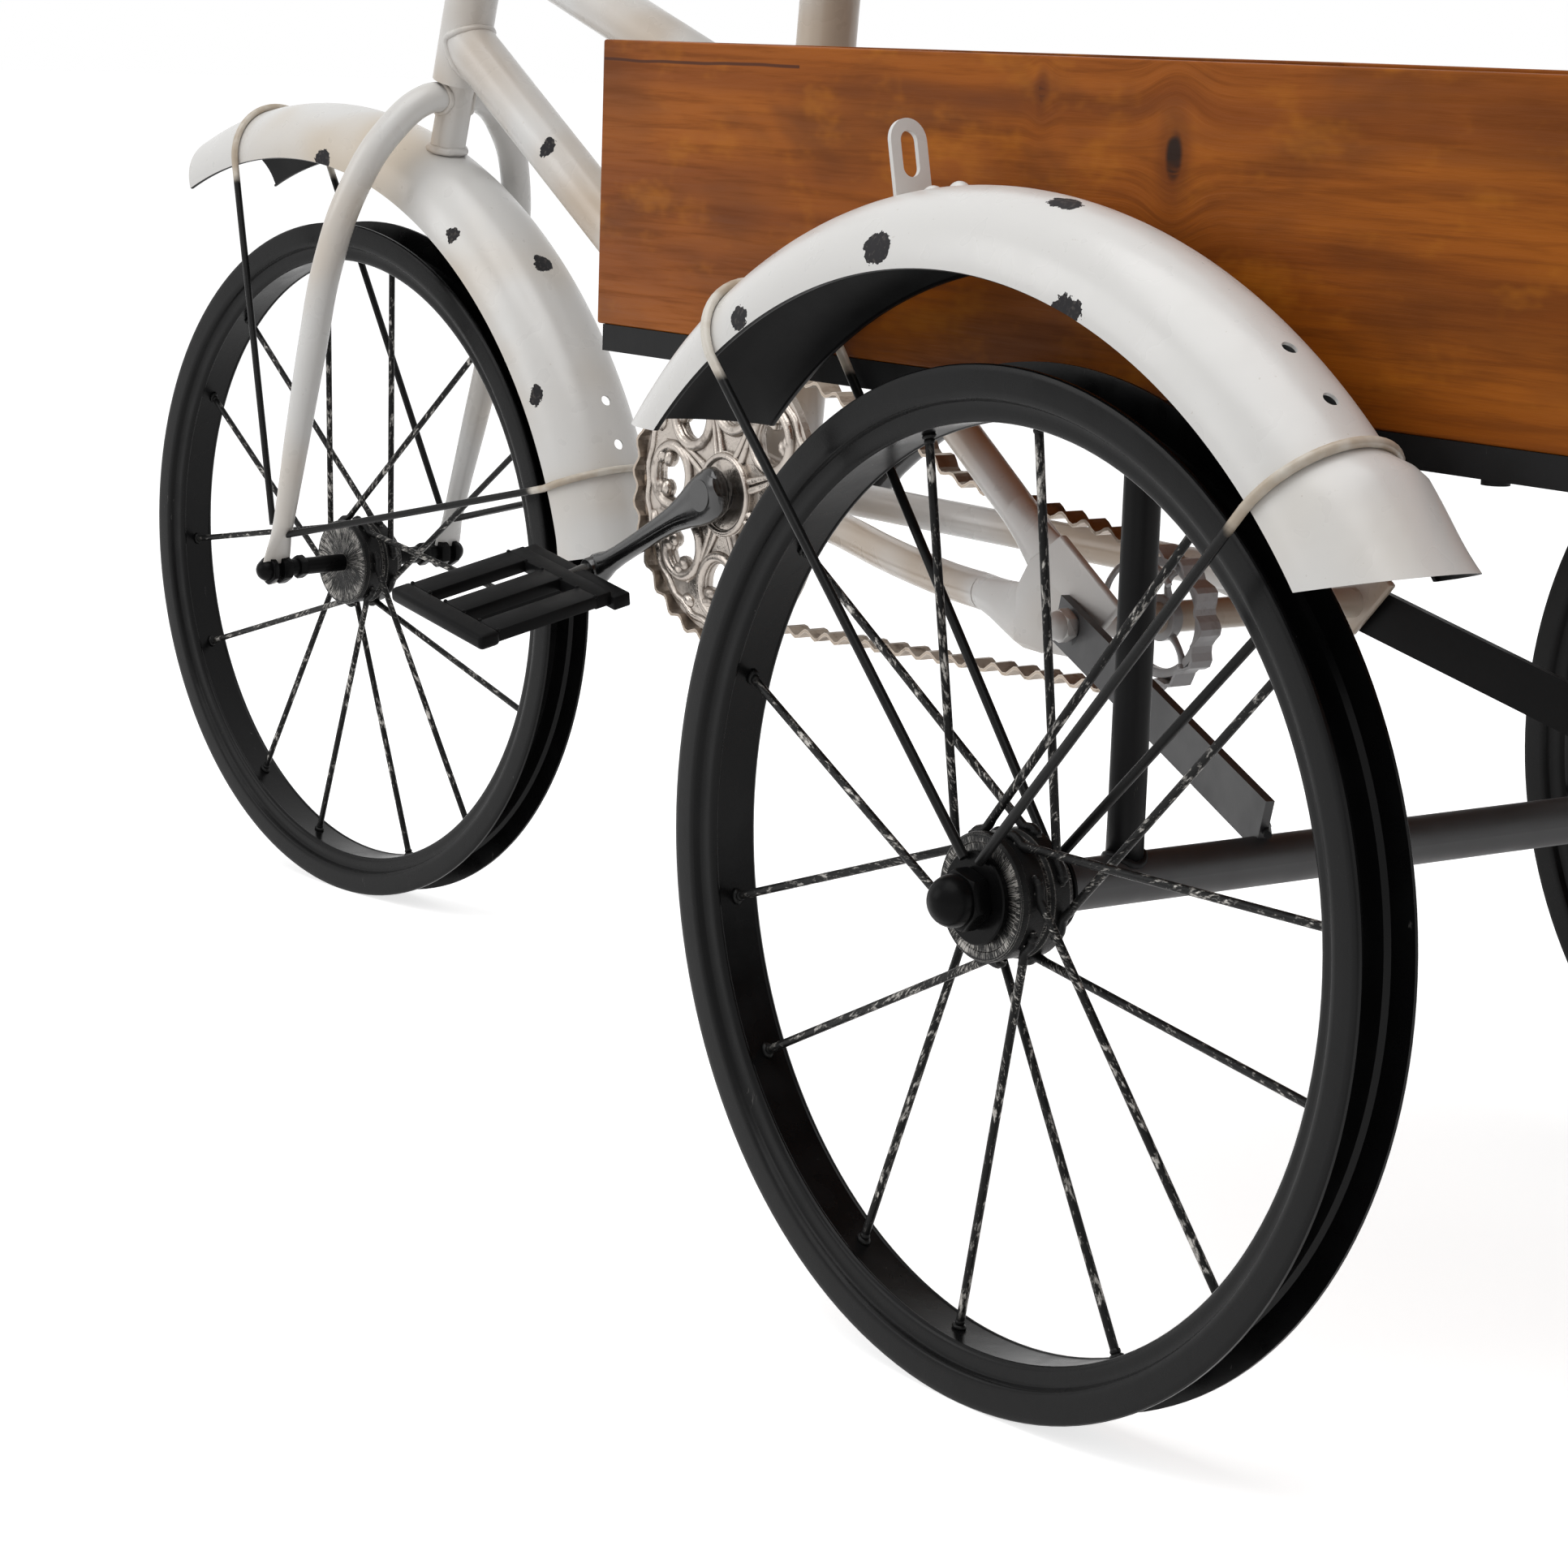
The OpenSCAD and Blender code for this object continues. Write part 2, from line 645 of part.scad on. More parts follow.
// The strip's middle line in the x-z plane: round the ring, back, round the sprocket, and forward
ring_c = [-crank_back, crank_up];
sprocket_c = [-dropout_back, dropout_up];
function arc(c, r, a0, a1, n) = [
    for (i = [0:n]) let (a = a0 + (a1 - a0) * i / n) c + r * [cos(a), sin(a)]];
strip_line = concat(
    arc(ring_c, ring_path_r, 77, 292.5, 36),
    [ring_c + [50, -61.5], sprocket_c + [-24, -35.5]],
    arc(sprocket_c, sprocket_path_r, -76.5, 84, 14),
    [sprocket_c + [-17, 32], sprocket_c + [-101, 41], sprocket_c + [-144, 46],
        ring_c + [169, 35], ring_c + [146, 45]]);
line_n = len(strip_line);
function step(i) = strip_line[(i + 1) % line_n] - strip_line[i];
starts = [for (i = 0, s = 0; i <= line_n; s = s + norm(step(i % line_n)), i = i + 1) s];
strip_len = starts[line_n];
waves = round(strip_len / wave_pitch);
function wave(s) = wave_h * sin(360 * waves * s / strip_len);
function strip_side(shift) = [
    for (i = [0:line_n - 1])
        let (v = step(i), n = max(1, round(norm(v) / wave_pitch * 6)), across = [-v[1], v[0]] / norm(v))
            for (k = [0:n - 1])
                strip_line[i] + v * k / n - across * (wave(starts[i] + norm(v) * k / n) + shift)];
module chain_strip() {
    outer = strip_side(strip_t / 2);
    inner = strip_side(-strip_t / 2);
    n = len(outer);
    cart() color(steel) translate([0, -chain_y + strip_w / 2, 0]) rotate([90, 0, 0]) linear_extrude(strip_w)
        polygon(concat(outer, inner), [[for (i = [0:n - 1]) i], [for (i = [0:n - 1]) n + i]]);
}
module rear_sprocket() {
    cart() color(steel) translate(drop_at + [0, -chain_y, 0]) difference() {
        crosswise(-ring_t / 2, ring_t / 2, 2 * sprocket_r);
        crosswise(-ring_t, ring_t, spacer_d);
    }
}

// Seat
module seat_post() {
    cart() color(steel) difference() {
        rod(on_seat(seat_tube_len - post_depth), on_seat(seat_tube_len + post_up + 2 * weld), post_d);
        saddle_solid();
    }
}
module saddle_solid() {
    back_r = saddle_w / 2;
    nose_r = 20;
    nose_x = -(saddle_len - back_r - nose_r);
    flank = asin((back_r - nose_r) / -nose_x);
    translate(saddle_base) linear_extrude(saddle_h) union() {
        circle(r = back_r);
        translate([nose_x, 0]) circle(r = nose_r);
        polygon([
            [-back_r * sin(flank), back_r * cos(flank)],
            [nose_x - nose_r * sin(flank), nose_r * cos(flank)],
            [nose_x - nose_r * sin(flank), -nose_r * cos(flank)],
            [-back_r * sin(flank), -back_r * cos(flank)]]);
    }
}
module saddle() { cart() color(black) saddle_solid(); }

// Rear carrier
module axle_solid() { crosswise(-axle_end_y, axle_end_y, axle_tube_d); }
module axle_tube() {
    cart() color(black) difference() {
        axle_solid();
        crosswise(-axle_end_y - 1, axle_end_y + 1, axle_tube_bore);
    }
}
stud_end_y = outer_washer_y + washer_t + nut_hex_len;
module axle_stud() {
    crosswise(-axle_end_y, -axle_end_y + stud_plug_len, axle_tube_bore);
    crosswise(-stud_end_y, -axle_end_y, stud_d);
}
module axle_studs() {
    cart() color(black) {
        axle_stud();
        right_side() axle_stud();
    }
}
// Outer washer and domed nut, and the thin washer on the axle tube's end
module axle_nut() {
    difference() {
        union() {
            crosswise(-outer_washer_y - washer_t, -outer_washer_y, washer_d);
            domed_nut(-outer_washer_y - washer_t, nut_d, nut_hex_len, nut_dome_d);
        }
        crosswise(-stud_end_y, 0, stud_d);
    }
    difference() {
        crosswise(-axle_end_y - washer_t / 2, -axle_end_y, washer_d - 2);
        crosswise(-axle_end_y - washer_t, 0, stud_d);
    }
}
module axle_nuts() {
    cart() color(black) {
        axle_nut();
        right_side() axle_nut();
    }
}
module upright() {
    difference() {
        rod([0, -upright_y, 0], [0, -upright_y, rail_up], upright_d);
        axle_solid();
    }
}
module upright_left() { cart() color(black) upright(); }
module upright_right() { cart() color(black) right_side() upright(); }
// The strap lies on the plate's outer face at the bolt and runs out to the axle tube
strap_from = drop_at + [-8, -dropout_y - strap_t / 2, 0];
strap_to = [4, -strap_y, axle_tube_d / 2 + 5];
module strap() {
    v = strap_to - strap_from;
    run = norm([v[0], v[1]]);
    difference() {
        translate(strap_from) rotate([0, atan2(-v[2], run), atan2(v[1], v[0])])
            translate([-4, -strap_t / 2, -strap_w / 2]) cube([norm(v) + 4, strap_t, strap_w]);
        plate_solid();
        axle_solid();
        translate(drop_at) crosswise(-dropout_y - 30, 0, drop_bolt_d);
        translate(drop_at) crosswise(-dropout_y - 40, -dropout_y - strap_t - bolt_stand, 18);
    }
}
module strap_left() { cart() color(black) strap(); }
module strap_right() { cart() color(black) right_side() strap(); }
frame_front = box_front + rail_inset;
frame_rear = box_rear - rail_inset;
bracket_w = 20;
bracket_t = 4;
module bar_along(y) {
    translate([frame_front, y - rail_w / 2, rail_up]) cube([frame_rear - frame_front, rail_w, rail_h]);
}
module bar_across(x) { translate([x, -rail_y, rail_up]) cube([rail_w, 2 * rail_y, rail_h]); }
// A bracket reaches from the front bar down to the middle of the seatstay that passes under it
bracket_share = (frame_front + rail_w / 2 - seatstay_low[0]) / (seatstay_high[0] - seatstay_low[0]);
bracket_at = seatstay_low + bracket_share * (seatstay_high - seatstay_low);
bracket_h = rail_up + weld - bracket_at[2];
module box_frame() {
    cart() color(black) difference() {
        union() {
            bar_along(-rail_y);
            bar_along(rail_y);
            bar_across(frame_front);
            bar_across(frame_rear - rail_w);
            bar_across(-rail_w / 2);
            for (side = [-1, 1])
                translate([frame_front, side * bracket_at[1] - bracket_t / 2, bracket_at[2]])
                    cube([bracket_w, bracket_t, bracket_h]);
        }
        seatstay();
        right_side() seatstay();
        for (x = [-screw_x, screw_x], y = [-rail_y, rail_y])
            translate([x - box_ahead, y, rail_up - 1]) cylinder(h = rail_h + 2, d = screw_d);
    }
}
module frame_screws() {
    head_h = 2;
    shank = rail_h + 16;
    cart() color(black) for (x = [-screw_x, screw_x], y = [-rail_y, rail_y])
        translate([x - box_ahead, y, rail_up]) {
            translate([0, 0, -head_h]) cylinder(h = head_h, d = screw_d * 2);
            cylinder(h = shank, d = screw_d);
        }
}

// Wooden box
module box_side(y) {
    difference() {
        translate([box_front, y, rail_top]) cube([2 * box_half_l, board_t, board_h]);
        for (x = [-screw_x, screw_x], screw_y = [-rail_y, rail_y])
            translate([x - box_ahead, screw_y, rail_top - 1]) cylinder(h = 17, d = screw_d);
    }
}
module box_side_left() { cart() color(pine) box_side(-box_half_w); }
module box_side_right() { cart() color(pine) box_side(box_half_w - board_t); }
inner_half_w = box_half_w - board_t;
module box_end(x) { translate([x, -inner_half_w, rail_top]) cube([board_t, 2 * inner_half_w, board_h]); }
module box_end_front() { cart() color(pine) box_end(box_front); }
module box_end_rear() { cart() color(pine) box_end(box_rear - board_t); }
module box_floor() {
    cart() color(pine) translate([box_front + board_t, -inner_half_w, rail_top])
        cube([2 * (box_half_l - board_t), 2 * inner_half_w, floor_t]);
}

// Rear mudguards
module at_left_guard() { translate(guard_centre + [0, -guard_y, 0]) children(); }
module mudguard() {
    at_left_guard() difference() {
        guard_band(guard_edge_r, guard_half_w, guard_wall, guard_rear_end, guard_front_end);
        for (a = hole_angles) guard_hole(guard_ridge_r, a);
        for (a = rivet_angles) at_guard(a) translate([guard_edge_r, crown_offset, 0]) rotate([0, 90, 0])
            cylinder(h = guard_half_w + 5, d = rivet_d / 2);
    }
}
module mudguard_left() { cart() color(cream) mudguard(); }
module mudguard_right() { cart() color(cream) right_side() mudguard(); }
module guard_tab() {
    top = guard_half_w + tab_h;
    seat = guard_half_w - 4;
    slot_r = tab_slot_w / 2;
    slot_low = top - tab_w / 2 + slot_r - tab_slot_len + slot_r;
    at_left_guard() difference() {
        at_guard(tab_angle) translate([guard_edge_r, crown_offset, -1]) difference() {
            union() {
                translate([seat, -tab_w / 2, 0]) cube([top - tab_w / 2 - seat, tab_w, 2]);
                translate([top - tab_w / 2, 0, 0]) cylinder(h = 2, d = tab_w);
            }
            translate([slot_low, -slot_r, -1]) cube([tab_slot_len - tab_slot_w, tab_slot_w, 4]);
            translate([slot_low, 0, -1]) cylinder(h = 4, r = slot_r);
            translate([top - tab_w / 2, 0, -1]) cylinder(h = 4, r = slot_r);
        }
        guard_filled(guard_edge_r, guard_half_w, guard_rear_end, guard_front_end);
    }
}
module guard_rivet(angle) {
    seat = sqrt(guard_half_w * guard_half_w - crown_offset * crown_offset);
    at_left_guard() {
        difference() {
            at_guard(angle) translate([guard_edge_r + seat - 1.5, crown_offset, 0]) sphere(d = rivet_d);
            guard_filled(guard_edge_r, guard_half_w, guard_rear_end, guard_front_end);
        }
        at_guard(angle) translate([guard_edge_r + seat - 4, crown_offset, 0]) rotate([0, 90, 0])
            cylinder(h = 4.5, d = rivet_d / 2);
    }
}
module tab_set() {
    guard_tab();
    for (a = rivet_angles) guard_rivet(a);
}
module mudguard_tabs() {
    cart() color(cream) {
        tab_set();
        right_side() tab_set();
    }
}
// The outer legs end on the outer washer, the inner legs on the washer at the axle tube's end
module rear_stays() {
    near_y = -outer_washer_y - washer_t - wire_d / 2 + wire_sink;
    far_y = -axle_end_y + wire_d / 2 - wire_sink;
    end_r = washer_d / 2 - 3;
    c = guard_centre - [0, guard_y, 0];
    wire_stay(c, guard_edge_r, guard_half_w, stay_front_angle, [-4, near_y, end_r], [-4, far_y, end_r]);
    wire_stay(c, guard_edge_r, guard_half_w, stay_rear_angle, [5, near_y, end_r], [5, far_y, end_r]);
}
module mudguard_stays() {
    cart() color(black) {
        rear_stays();
        right_side() rear_stays();
    }
}

// Wheels
module left_rim() { cart() color(black) at_rear_wheel() rim(); }
module left_spokes() { cart() color(black) at_rear_wheel() spokes(rear_spoke_angle); }
module left_hub() { cart() color(black) at_rear_wheel() hub(stud_d); }
module right_rim() { cart() color(black) right_side() at_rear_wheel() rim(); }
module right_spokes() { cart() color(black) right_side() at_rear_wheel() spokes(rear_spoke_angle); }
module right_hub() { cart() color(black) right_side() at_rear_wheel() hub(stud_d); }
module front_rim() { cart() color(black) at_front_wheel() rim(); }
module front_spokes() { cart() color(black) at_front_wheel() spokes(front_spoke_angle); }
module front_hub() { cart() color(black) at_front_wheel() hub(front_axle_d); }

// Fork: a blade's points lie in one plane, from the crown down to the front axle
crown_s = head_low_s - 9.5;
crown_at = on_head(crown_s);
blade_slant = (crown_at[0] - 2 - front_centre[0]) / (crown_at[2] - front_up);
function blade_at(y, up) = [front_centre[0] + blade_slant * up, -y, front_up + up];
blade_high = crown_at[2] - front_up;
blade_points = [blade_at(6, blade_high), blade_at(18, blade_high), blade_at(40, blade_high - 21),
    blade_at(58, blade_high - 54), blade_at(65, blade_high - 91), blade_at(64, 120), blade_at(63, 70),
    blade_at(fork_end_y, 26), blade_at(fork_end_y, 6)];
blade_sizes = [blade_d, blade_d, blade_d, blade_d, blade_d,
    blade_d - 0.5, blade_d - 3, blade_d - 5.5, fork_end_t + 0.5];
module steerer_solid() { rod(on_head(ridge_s - 12), on_head(steerer_top_s), steerer_d); }
module fork_steerer() {
    cart() color(cream) steered() difference() {
        steerer_solid();
        translate(front_guard_centre)
            guard_filled(front_edge_r, front_guard_half_w, front_guard_rear_end, front_guard_front_end);
    }
}
module fork_blade() {
    last = len(blade_points) - 1;
    difference() {
        union() {
            for (i = [0:last - 1])
                rod(blade_points[i], blade_points[i + 1], blade_sizes[i], blade_sizes[i + 1]);
            for (i = [1:last - 1]) ball(blade_points[i], blade_sizes[i], blade_points[i + 1]);
            translate(front_centre) crosswise(-fork_end_y - fork_end_t / 2, -fork_end_y + fork_end_t / 2, 18);
        }
        steerer_solid();
        translate(front_centre) crosswise(-fork_end_y - 20, -fork_end_y + 20, front_axle_d);
        translate(front_centre) crosswise(-fork_end_y + fork_end_t / 2, 0, front_nut_d + 1);
        translate(front_centre) crosswise(-fork_end_y - 30, -fork_end_y - fork_end_t / 2, front_nut_d + 1);
    }
}
module fork_blade_left() { cart() color(cream) steered() fork_blade(); }
module fork_blade_right() { cart() color(cream) steered() right_side() fork_blade(); }
module front_nuts() {
    out = fork_end_y + fork_end_t / 2;
    domed_nut(-out, front_nut_d, 3, 13);
    difference() {
        translate([0, -out + fork_end_t, 0]) rotate([-90, 0, 0]) cylinder(h = 6, d = front_nut_d, $fn = 6);
        crosswise(-out, 0, front_axle_d);
    }
}
module front_axle() {
    reach = fork_end_y + fork_end_t / 2 + 2;
    cart() color(black) at_front_wheel() {
        crosswise(-reach, reach, front_axle_d);
        front_nuts();
        right_side() front_nuts();
    }
}
module front_mudguard() {
    cart() color(cream) steered() translate(front_guard_centre) difference() {
        guard_band(front_edge_r, front_guard_half_w, guard_wall, front_guard_rear_end, front_guard_front_end);
        for (a = front_hole_angles) guard_hole(front_ridge_r, a);
    }
}
module front_stays() {
    back_leg = front_centre + [9, 0, 21];
    front_leg = front_centre + [-3, 0, 26];
    out = [0, fork_end_y - 1, 0];
    cart() color(black) steered() difference() {
        union() {
            wire_stay(front_guard_centre, front_edge_r, front_guard_half_w, front_stay_angles[0],
                back_leg - out, back_leg + out);
            wire_stay(front_guard_centre, front_edge_r, front_guard_half_w, front_stay_angles[1],
                front_leg - out, front_leg + out);
        }
        for (side = [0, 1]) mirror([0, side, 0]) {
            last = len(blade_points) - 1;
            for (i = [last - 2:last - 1])
                rod(blade_points[i], blade_points[i + 1], blade_sizes[i], blade_sizes[i + 1]);
            ball(blade_points[last - 1], blade_sizes[last - 1], blade_points[last]);
        }
    }
}

// Stem and handlebar, made as if the wheel pointed straight ahead
module stem() {
    clamp_half = 20;
    cart() color(steel) steered() difference() {
        union() {
            rod(on_head(stem_low_s), on_head(bar_s), stem_d);
            rod(on_head(stem_low_s), on_head(stem_low_s + 8), head_tube_d + 3);
            translate(on_head(bar_s)) crosswise(-clamp_half, clamp_half, bar_d + 10);
        }
        rod(on_head(stem_low_s - 1), on_head(steerer_top_s), steerer_d);
        translate(on_head(bar_s)) crosswise(-clamp_half - 1, clamp_half + 1, bar_d);
    }
}
bar_bend = [[0, 30, 0], [12, 0.6 * bar_half, 20], [40, 0.9 * bar_half, 24]];
bar_end = [148, bar_half, 14];
bar_overlap = 5;
module half_bar(side) {
    c = on_head(bar_s);
    bends = [for (p = bar_bend) c + [p[0], side * p[1], p[2]]];
    end = c + [bar_end[0], side * bar_end[1], bar_end[2]];
    bent_rod(concat([c - [0, side * bar_overlap, 0]], bends, [end]), bar_d);
}
module handlebar() {
    cart() color(steel) steered() {
        half_bar(1);
        half_bar(-1);
    }
}
module grip(side) {
    c = on_head(bar_s);
    end = c + [bar_end[0], side * bar_end[1], bar_end[2]];
    bend = bar_bend[len(bar_bend) - 1];
    from = c + [bend[0], side * bend[1], bend[2]];
    back = (from - end) / norm(from - end);
    difference() {
        rod(end - 4 * back, end + (grip_len - 4) * back, grip_d);
        rod(end, end + 2 * grip_len * back, bar_d);
    }
}
module grips() {
    cart() color(black) steered() {
        grip(-1);
        grip(1);
    }
}

head_tube();
down_tube();
top_tube();
seat_tube();
bottom_bracket_shell();
seatstay_left();
seatstay_right();
chainstay_left();
chainstay_right();
dropout_left();
dropout_right();
spacer_tube();
dropout_bolts();
crank_axle();
crank_arm_left();
crank_arm_right();
pedal_spindles();
chainring();
chain_strip();
rear_sprocket();
seat_post();
saddle();
axle_tube();
axle_studs();
axle_nuts();
upright_left();
upright_right();
strap_left();
strap_right();
box_frame();
frame_screws();
box_side_left();
box_side_right();
box_end_front();
box_end_rear();
box_floor();
mudguard_left();
mudguard_right();
mudguard_tabs();
mudguard_stays();
left_rim();
left_spokes();
left_hub();
right_rim();
right_spokes();
right_hub();
front_rim();
front_spokes();
front_hub();
fork_steerer();
fork_blade_left();
fork_blade_right();
front_axle();
front_mudguard();
front_stays();
stem();
handlebar();
grips();
left_pedal();
right_pedal();
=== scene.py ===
"""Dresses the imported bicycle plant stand: detailed pieces, finishes, floor, lights and camera."""

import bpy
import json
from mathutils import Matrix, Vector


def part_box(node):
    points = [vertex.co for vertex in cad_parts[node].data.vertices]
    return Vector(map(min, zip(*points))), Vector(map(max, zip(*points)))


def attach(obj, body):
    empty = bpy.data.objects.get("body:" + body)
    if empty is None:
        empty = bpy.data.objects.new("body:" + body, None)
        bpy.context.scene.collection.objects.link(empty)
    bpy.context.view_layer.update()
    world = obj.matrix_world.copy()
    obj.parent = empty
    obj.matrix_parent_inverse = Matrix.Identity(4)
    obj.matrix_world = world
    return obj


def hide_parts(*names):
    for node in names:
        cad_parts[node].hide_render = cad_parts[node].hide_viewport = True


bl_info = {
    "name": "Bicycle Plant Stand",
    "version": (1, 0, 0),
    "blender": (4, 5, 0),
    "location": "3D View > Sidebar > Plant Stand",
    "description": "Detailed pieces and finishes for a bicycle plant stand with a wooden box",
    "category": "Object",
}

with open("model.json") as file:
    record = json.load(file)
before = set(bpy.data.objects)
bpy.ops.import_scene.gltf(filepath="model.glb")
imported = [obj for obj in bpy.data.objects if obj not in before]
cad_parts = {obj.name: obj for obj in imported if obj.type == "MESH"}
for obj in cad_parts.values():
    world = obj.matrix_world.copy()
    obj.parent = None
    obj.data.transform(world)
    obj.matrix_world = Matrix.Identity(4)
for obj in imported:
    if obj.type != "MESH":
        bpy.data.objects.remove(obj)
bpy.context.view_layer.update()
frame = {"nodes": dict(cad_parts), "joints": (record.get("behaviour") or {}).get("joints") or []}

import json
import math
import bpy
from mathutils import Matrix, Vector

MM = 0.001
SEAM = 0.02 * MM
NODES = frame["nodes"]
JOINTS = {joint["name"]: joint for joint in frame["joints"]}
Y, Z = Vector((0, 1, 0)), Vector((0, 0, 1))
HERE = Matrix.Identity(4)
MIRROR = Matrix.Scale(-1, 4, Y)


# ---- Places, which every piece is measured from ------------------------------------------

def joint_at(name):
    return Vector(JOINTS[name]["pos_m"])


def at(place):
    return Matrix.Translation(place)


def rotation(degrees, axis="Y"):
    return Matrix.Rotation(math.radians(degrees), 4, axis)


def facing(x, y, z):
    """The turn that brings the axes to these directions."""
    return Matrix((x, y, z)).transposed().to_4x4()


LEFT_WHEEL_AT, RIGHT_WHEEL_AT = joint_at("left_wheel_spin"), joint_at("right_wheel_spin")
FRONT_WHEEL_AT, STEER_AT = joint_at("front_wheel_spin"), joint_at("steering")
STEER_AXIS = Vector(JOINTS["steering"]["axis"]).normalized()
REST_STEER = 4.9
STEERED = at(STEER_AT) @ rotation(REST_STEER, STEER_AXIS) @ at(-STEER_AT)
OUTWARDS = rotation(90, "X")


def cart(x, y, z):
    """A place in millimetres from the middle of the rear axle, as a point in the frame."""
    return Vector((LEFT_WHEEL_AT.x + x * MM, y * MM, LEFT_WHEEL_AT.z + z * MM))


def polar(radius, degrees, y=0.0):
    """A place round the y axis, from millimetres and degrees."""
    angle = math.radians(degrees)
    return Vector((radius * math.cos(angle) * MM, y * MM, radius * math.sin(angle) * MM))


def mirrored(points):
    return [Vector((p.x, -p.y, p.z)) for p in points]


HEAD_LOW = cart(-812.80, 0, 284.50)
CRANK = cart(-490, 0, 88)
CRANK_LENGTH, CRANK_ANGLES = 108, {"left": 207.5, "right": 31}
DROPOUT = cart(-163, 0, 70)
CHAIN_SIDE = -Y * 36 * MM
POST_Y = 198
# The middles of the mudguards' arcs, the front one with the wheel pointing straight ahead
REAR_ARC, FRONT_ARC = cart(-15, 0, -14), cart(-935, 0, -25)
SEAT_AXIS = rotation(5) @ Z


def on_head(up):
    """A place on the steering axis, in millimetres above the head tube's lower end."""
    return HEAD_LOW + STEER_AXIS * up * MM


def on_seat(up):
    """A place on the seat tube's axis, in millimetres above the crank axle."""
    return CRANK + SEAT_AXIS * up * MM


STAY_LOW, STAY_HIGH = cart(-177, -74, 82), on_seat(150) - Y * 14 * MM
FRONT_CENTRE = STEERED.inverted() @ FRONT_WHEEL_AT
FRONT_WHEEL = STEERED @ at(FRONT_CENTRE)
# Each wheel's name, its place and its first spoke's angle
REAR_SPOKE, FRONT_SPOKE = 161, 152
WHEELS = (("left", at(LEFT_WHEEL_AT), REAR_SPOKE),
          ("right", at(RIGHT_WHEEL_AT) @ MIRROR, REAR_SPOKE),
          ("front", FRONT_WHEEL, FRONT_SPOKE))


# ---- Modelling by hand -------------------------------------------------------------------

def active():
    return bpy.context.view_layer.objects.active


def clear_selection():
    if active() and active().mode != "OBJECT":
        bpy.ops.object.mode_set(mode="OBJECT")
    bpy.ops.object.select_all(action="DESELECT")


def pick(*pieces):
    clear_selection()
    for piece in pieces:
        piece.select_set(True)
    bpy.context.view_layer.objects.active = pieces[0]


class Editing:
    """Keeps a piece in edit mode for a while, with all of it selected unless told otherwise."""

    def __init__(self, piece, everything=True):
        self.piece, self.everything = piece, everything

    def __enter__(self):
        pick(self.piece)
        bpy.ops.object.mode_set(mode="EDIT")
        if self.everything:
            bpy.ops.mesh.select_all(action="SELECT")

    def __exit__(self, *problem):
        bpy.ops.object.mode_set(mode="OBJECT")


def settle(piece, matrix=HERE):
    """Puts a piece in its place and moves that place into the mesh."""
    bpy.context.view_layer.update()
    piece.data.transform(matrix @ piece.matrix_world)
    piece.matrix_world = Matrix.Identity(4)
    return piece


def copy_of(piece, matrix):
    """A copy of a piece at a place, its faces still outwards where the place mirrors it."""
    pick(piece)
    bpy.ops.object.duplicate()
    twin = settle(active(), matrix)
    if matrix.determinant() < 0:
        with Editing(twin):
            bpy.ops.mesh.flip_normals()
    return twin


def placed(piece, *matrices):
    """Copies of a piece, one at each place, instead of the piece itself."""
    copies = [copy_of(piece, matrix) for matrix in matrices]
    bpy.data.objects.remove(piece)
    return copies


def recalculate(piece):
    """Closes a piece's seams and turns its faces outwards."""
    with Editing(piece):
        bpy.ops.mesh.remove_doubles(threshold=SEAM)
        bpy.ops.mesh.normals_make_consistent(inside=False)


def turn_outwards(piece):
    """Turns the faces of each of a piece's parts outwards."""
    with Editing(piece):
        bpy.ops.mesh.normals_make_consistent(inside=False)
    return piece


def close_ends(form):
    """Fills a piece's open ends."""
    with Editing(form):
        bpy.ops.mesh.fill_holes(sides=0)
    return turn_outwards(form)


def modify(piece, kind, **settings):
    pick(piece)
    modifier = piece.modifiers.new(kind.title(), kind)
    for key, value in settings.items():
        setattr(modifier, key, value)
    bpy.ops.object.modifier_apply(modifier=modifier.name)


def smooth(piece, angle=35):
    pick(piece)
    bpy.ops.object.shade_smooth_by_angle(angle=math.radians(angle))
    return piece


def bevel(piece, width, segments, angle=30):
    """Rounds the edges sharper than an angle, to a width in millimetres."""
    modify(piece, "BEVEL", width=width * MM, segments=segments, limit_method="ANGLE",
           angle_limit=math.radians(angle))


def join(*pieces):
    pick(*pieces)
    if len(pieces) > 1:
        bpy.ops.object.join()
    return active()


def dress(piece, name, body, finish, slot, *replaces):
    """Names a piece, gives it its finish, if any, and makes it ride on its body."""
    piece.name = piece.data.name = name
    if finish:
        piece.data.materials.clear()
        piece.data.materials.append(FINISHES[finish])
    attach(piece, body)
    if replaces:
        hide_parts(*replaces)


def roughen(piece, size, strength):
    """Makes a surface slightly uneven, as weld metal or cast metal is."""
    clouds = bpy.data.textures.new("uneven", "CLOUDS")
    clouds.noise_scale = size
    modify(piece, "DISPLACE", texture=clouds, strength=strength, mid_level=0.5, texture_coords="LOCAL")


def bent_tube(points, radii, ring=6, steps=10, closed=False):
    """A tube with a smooth bend at each point, with one radius or one for each point in millimetres."""
    clear_selection()
    bpy.ops.curve.primitive_bezier_curve_add(location=(0, 0, 0))
    curve = active().data
    spline = curve.splines[0]
    spline.bezier_points.add(len(points) - len(spline.bezier_points))
    radii = radii if hasattr(radii, "__len__") else [radii] * len(points)
    for knot, place, radius in zip(spline.bezier_points, points, radii):
        knot.co = place
        knot.radius = radius * MM
        knot.handle_left_type = knot.handle_right_type = "AUTO"
    spline.use_cyclic_u = closed
    curve.dimensions = "3D"
    curve.resolution_u = steps
    curve.bevel_depth = 1
    curve.bevel_resolution = ring
    curve.use_fill_caps = not closed
    bpy.ops.object.convert(target="MESH")
    tube = active()
    recalculate(tube)
    return smooth(tube, 50)


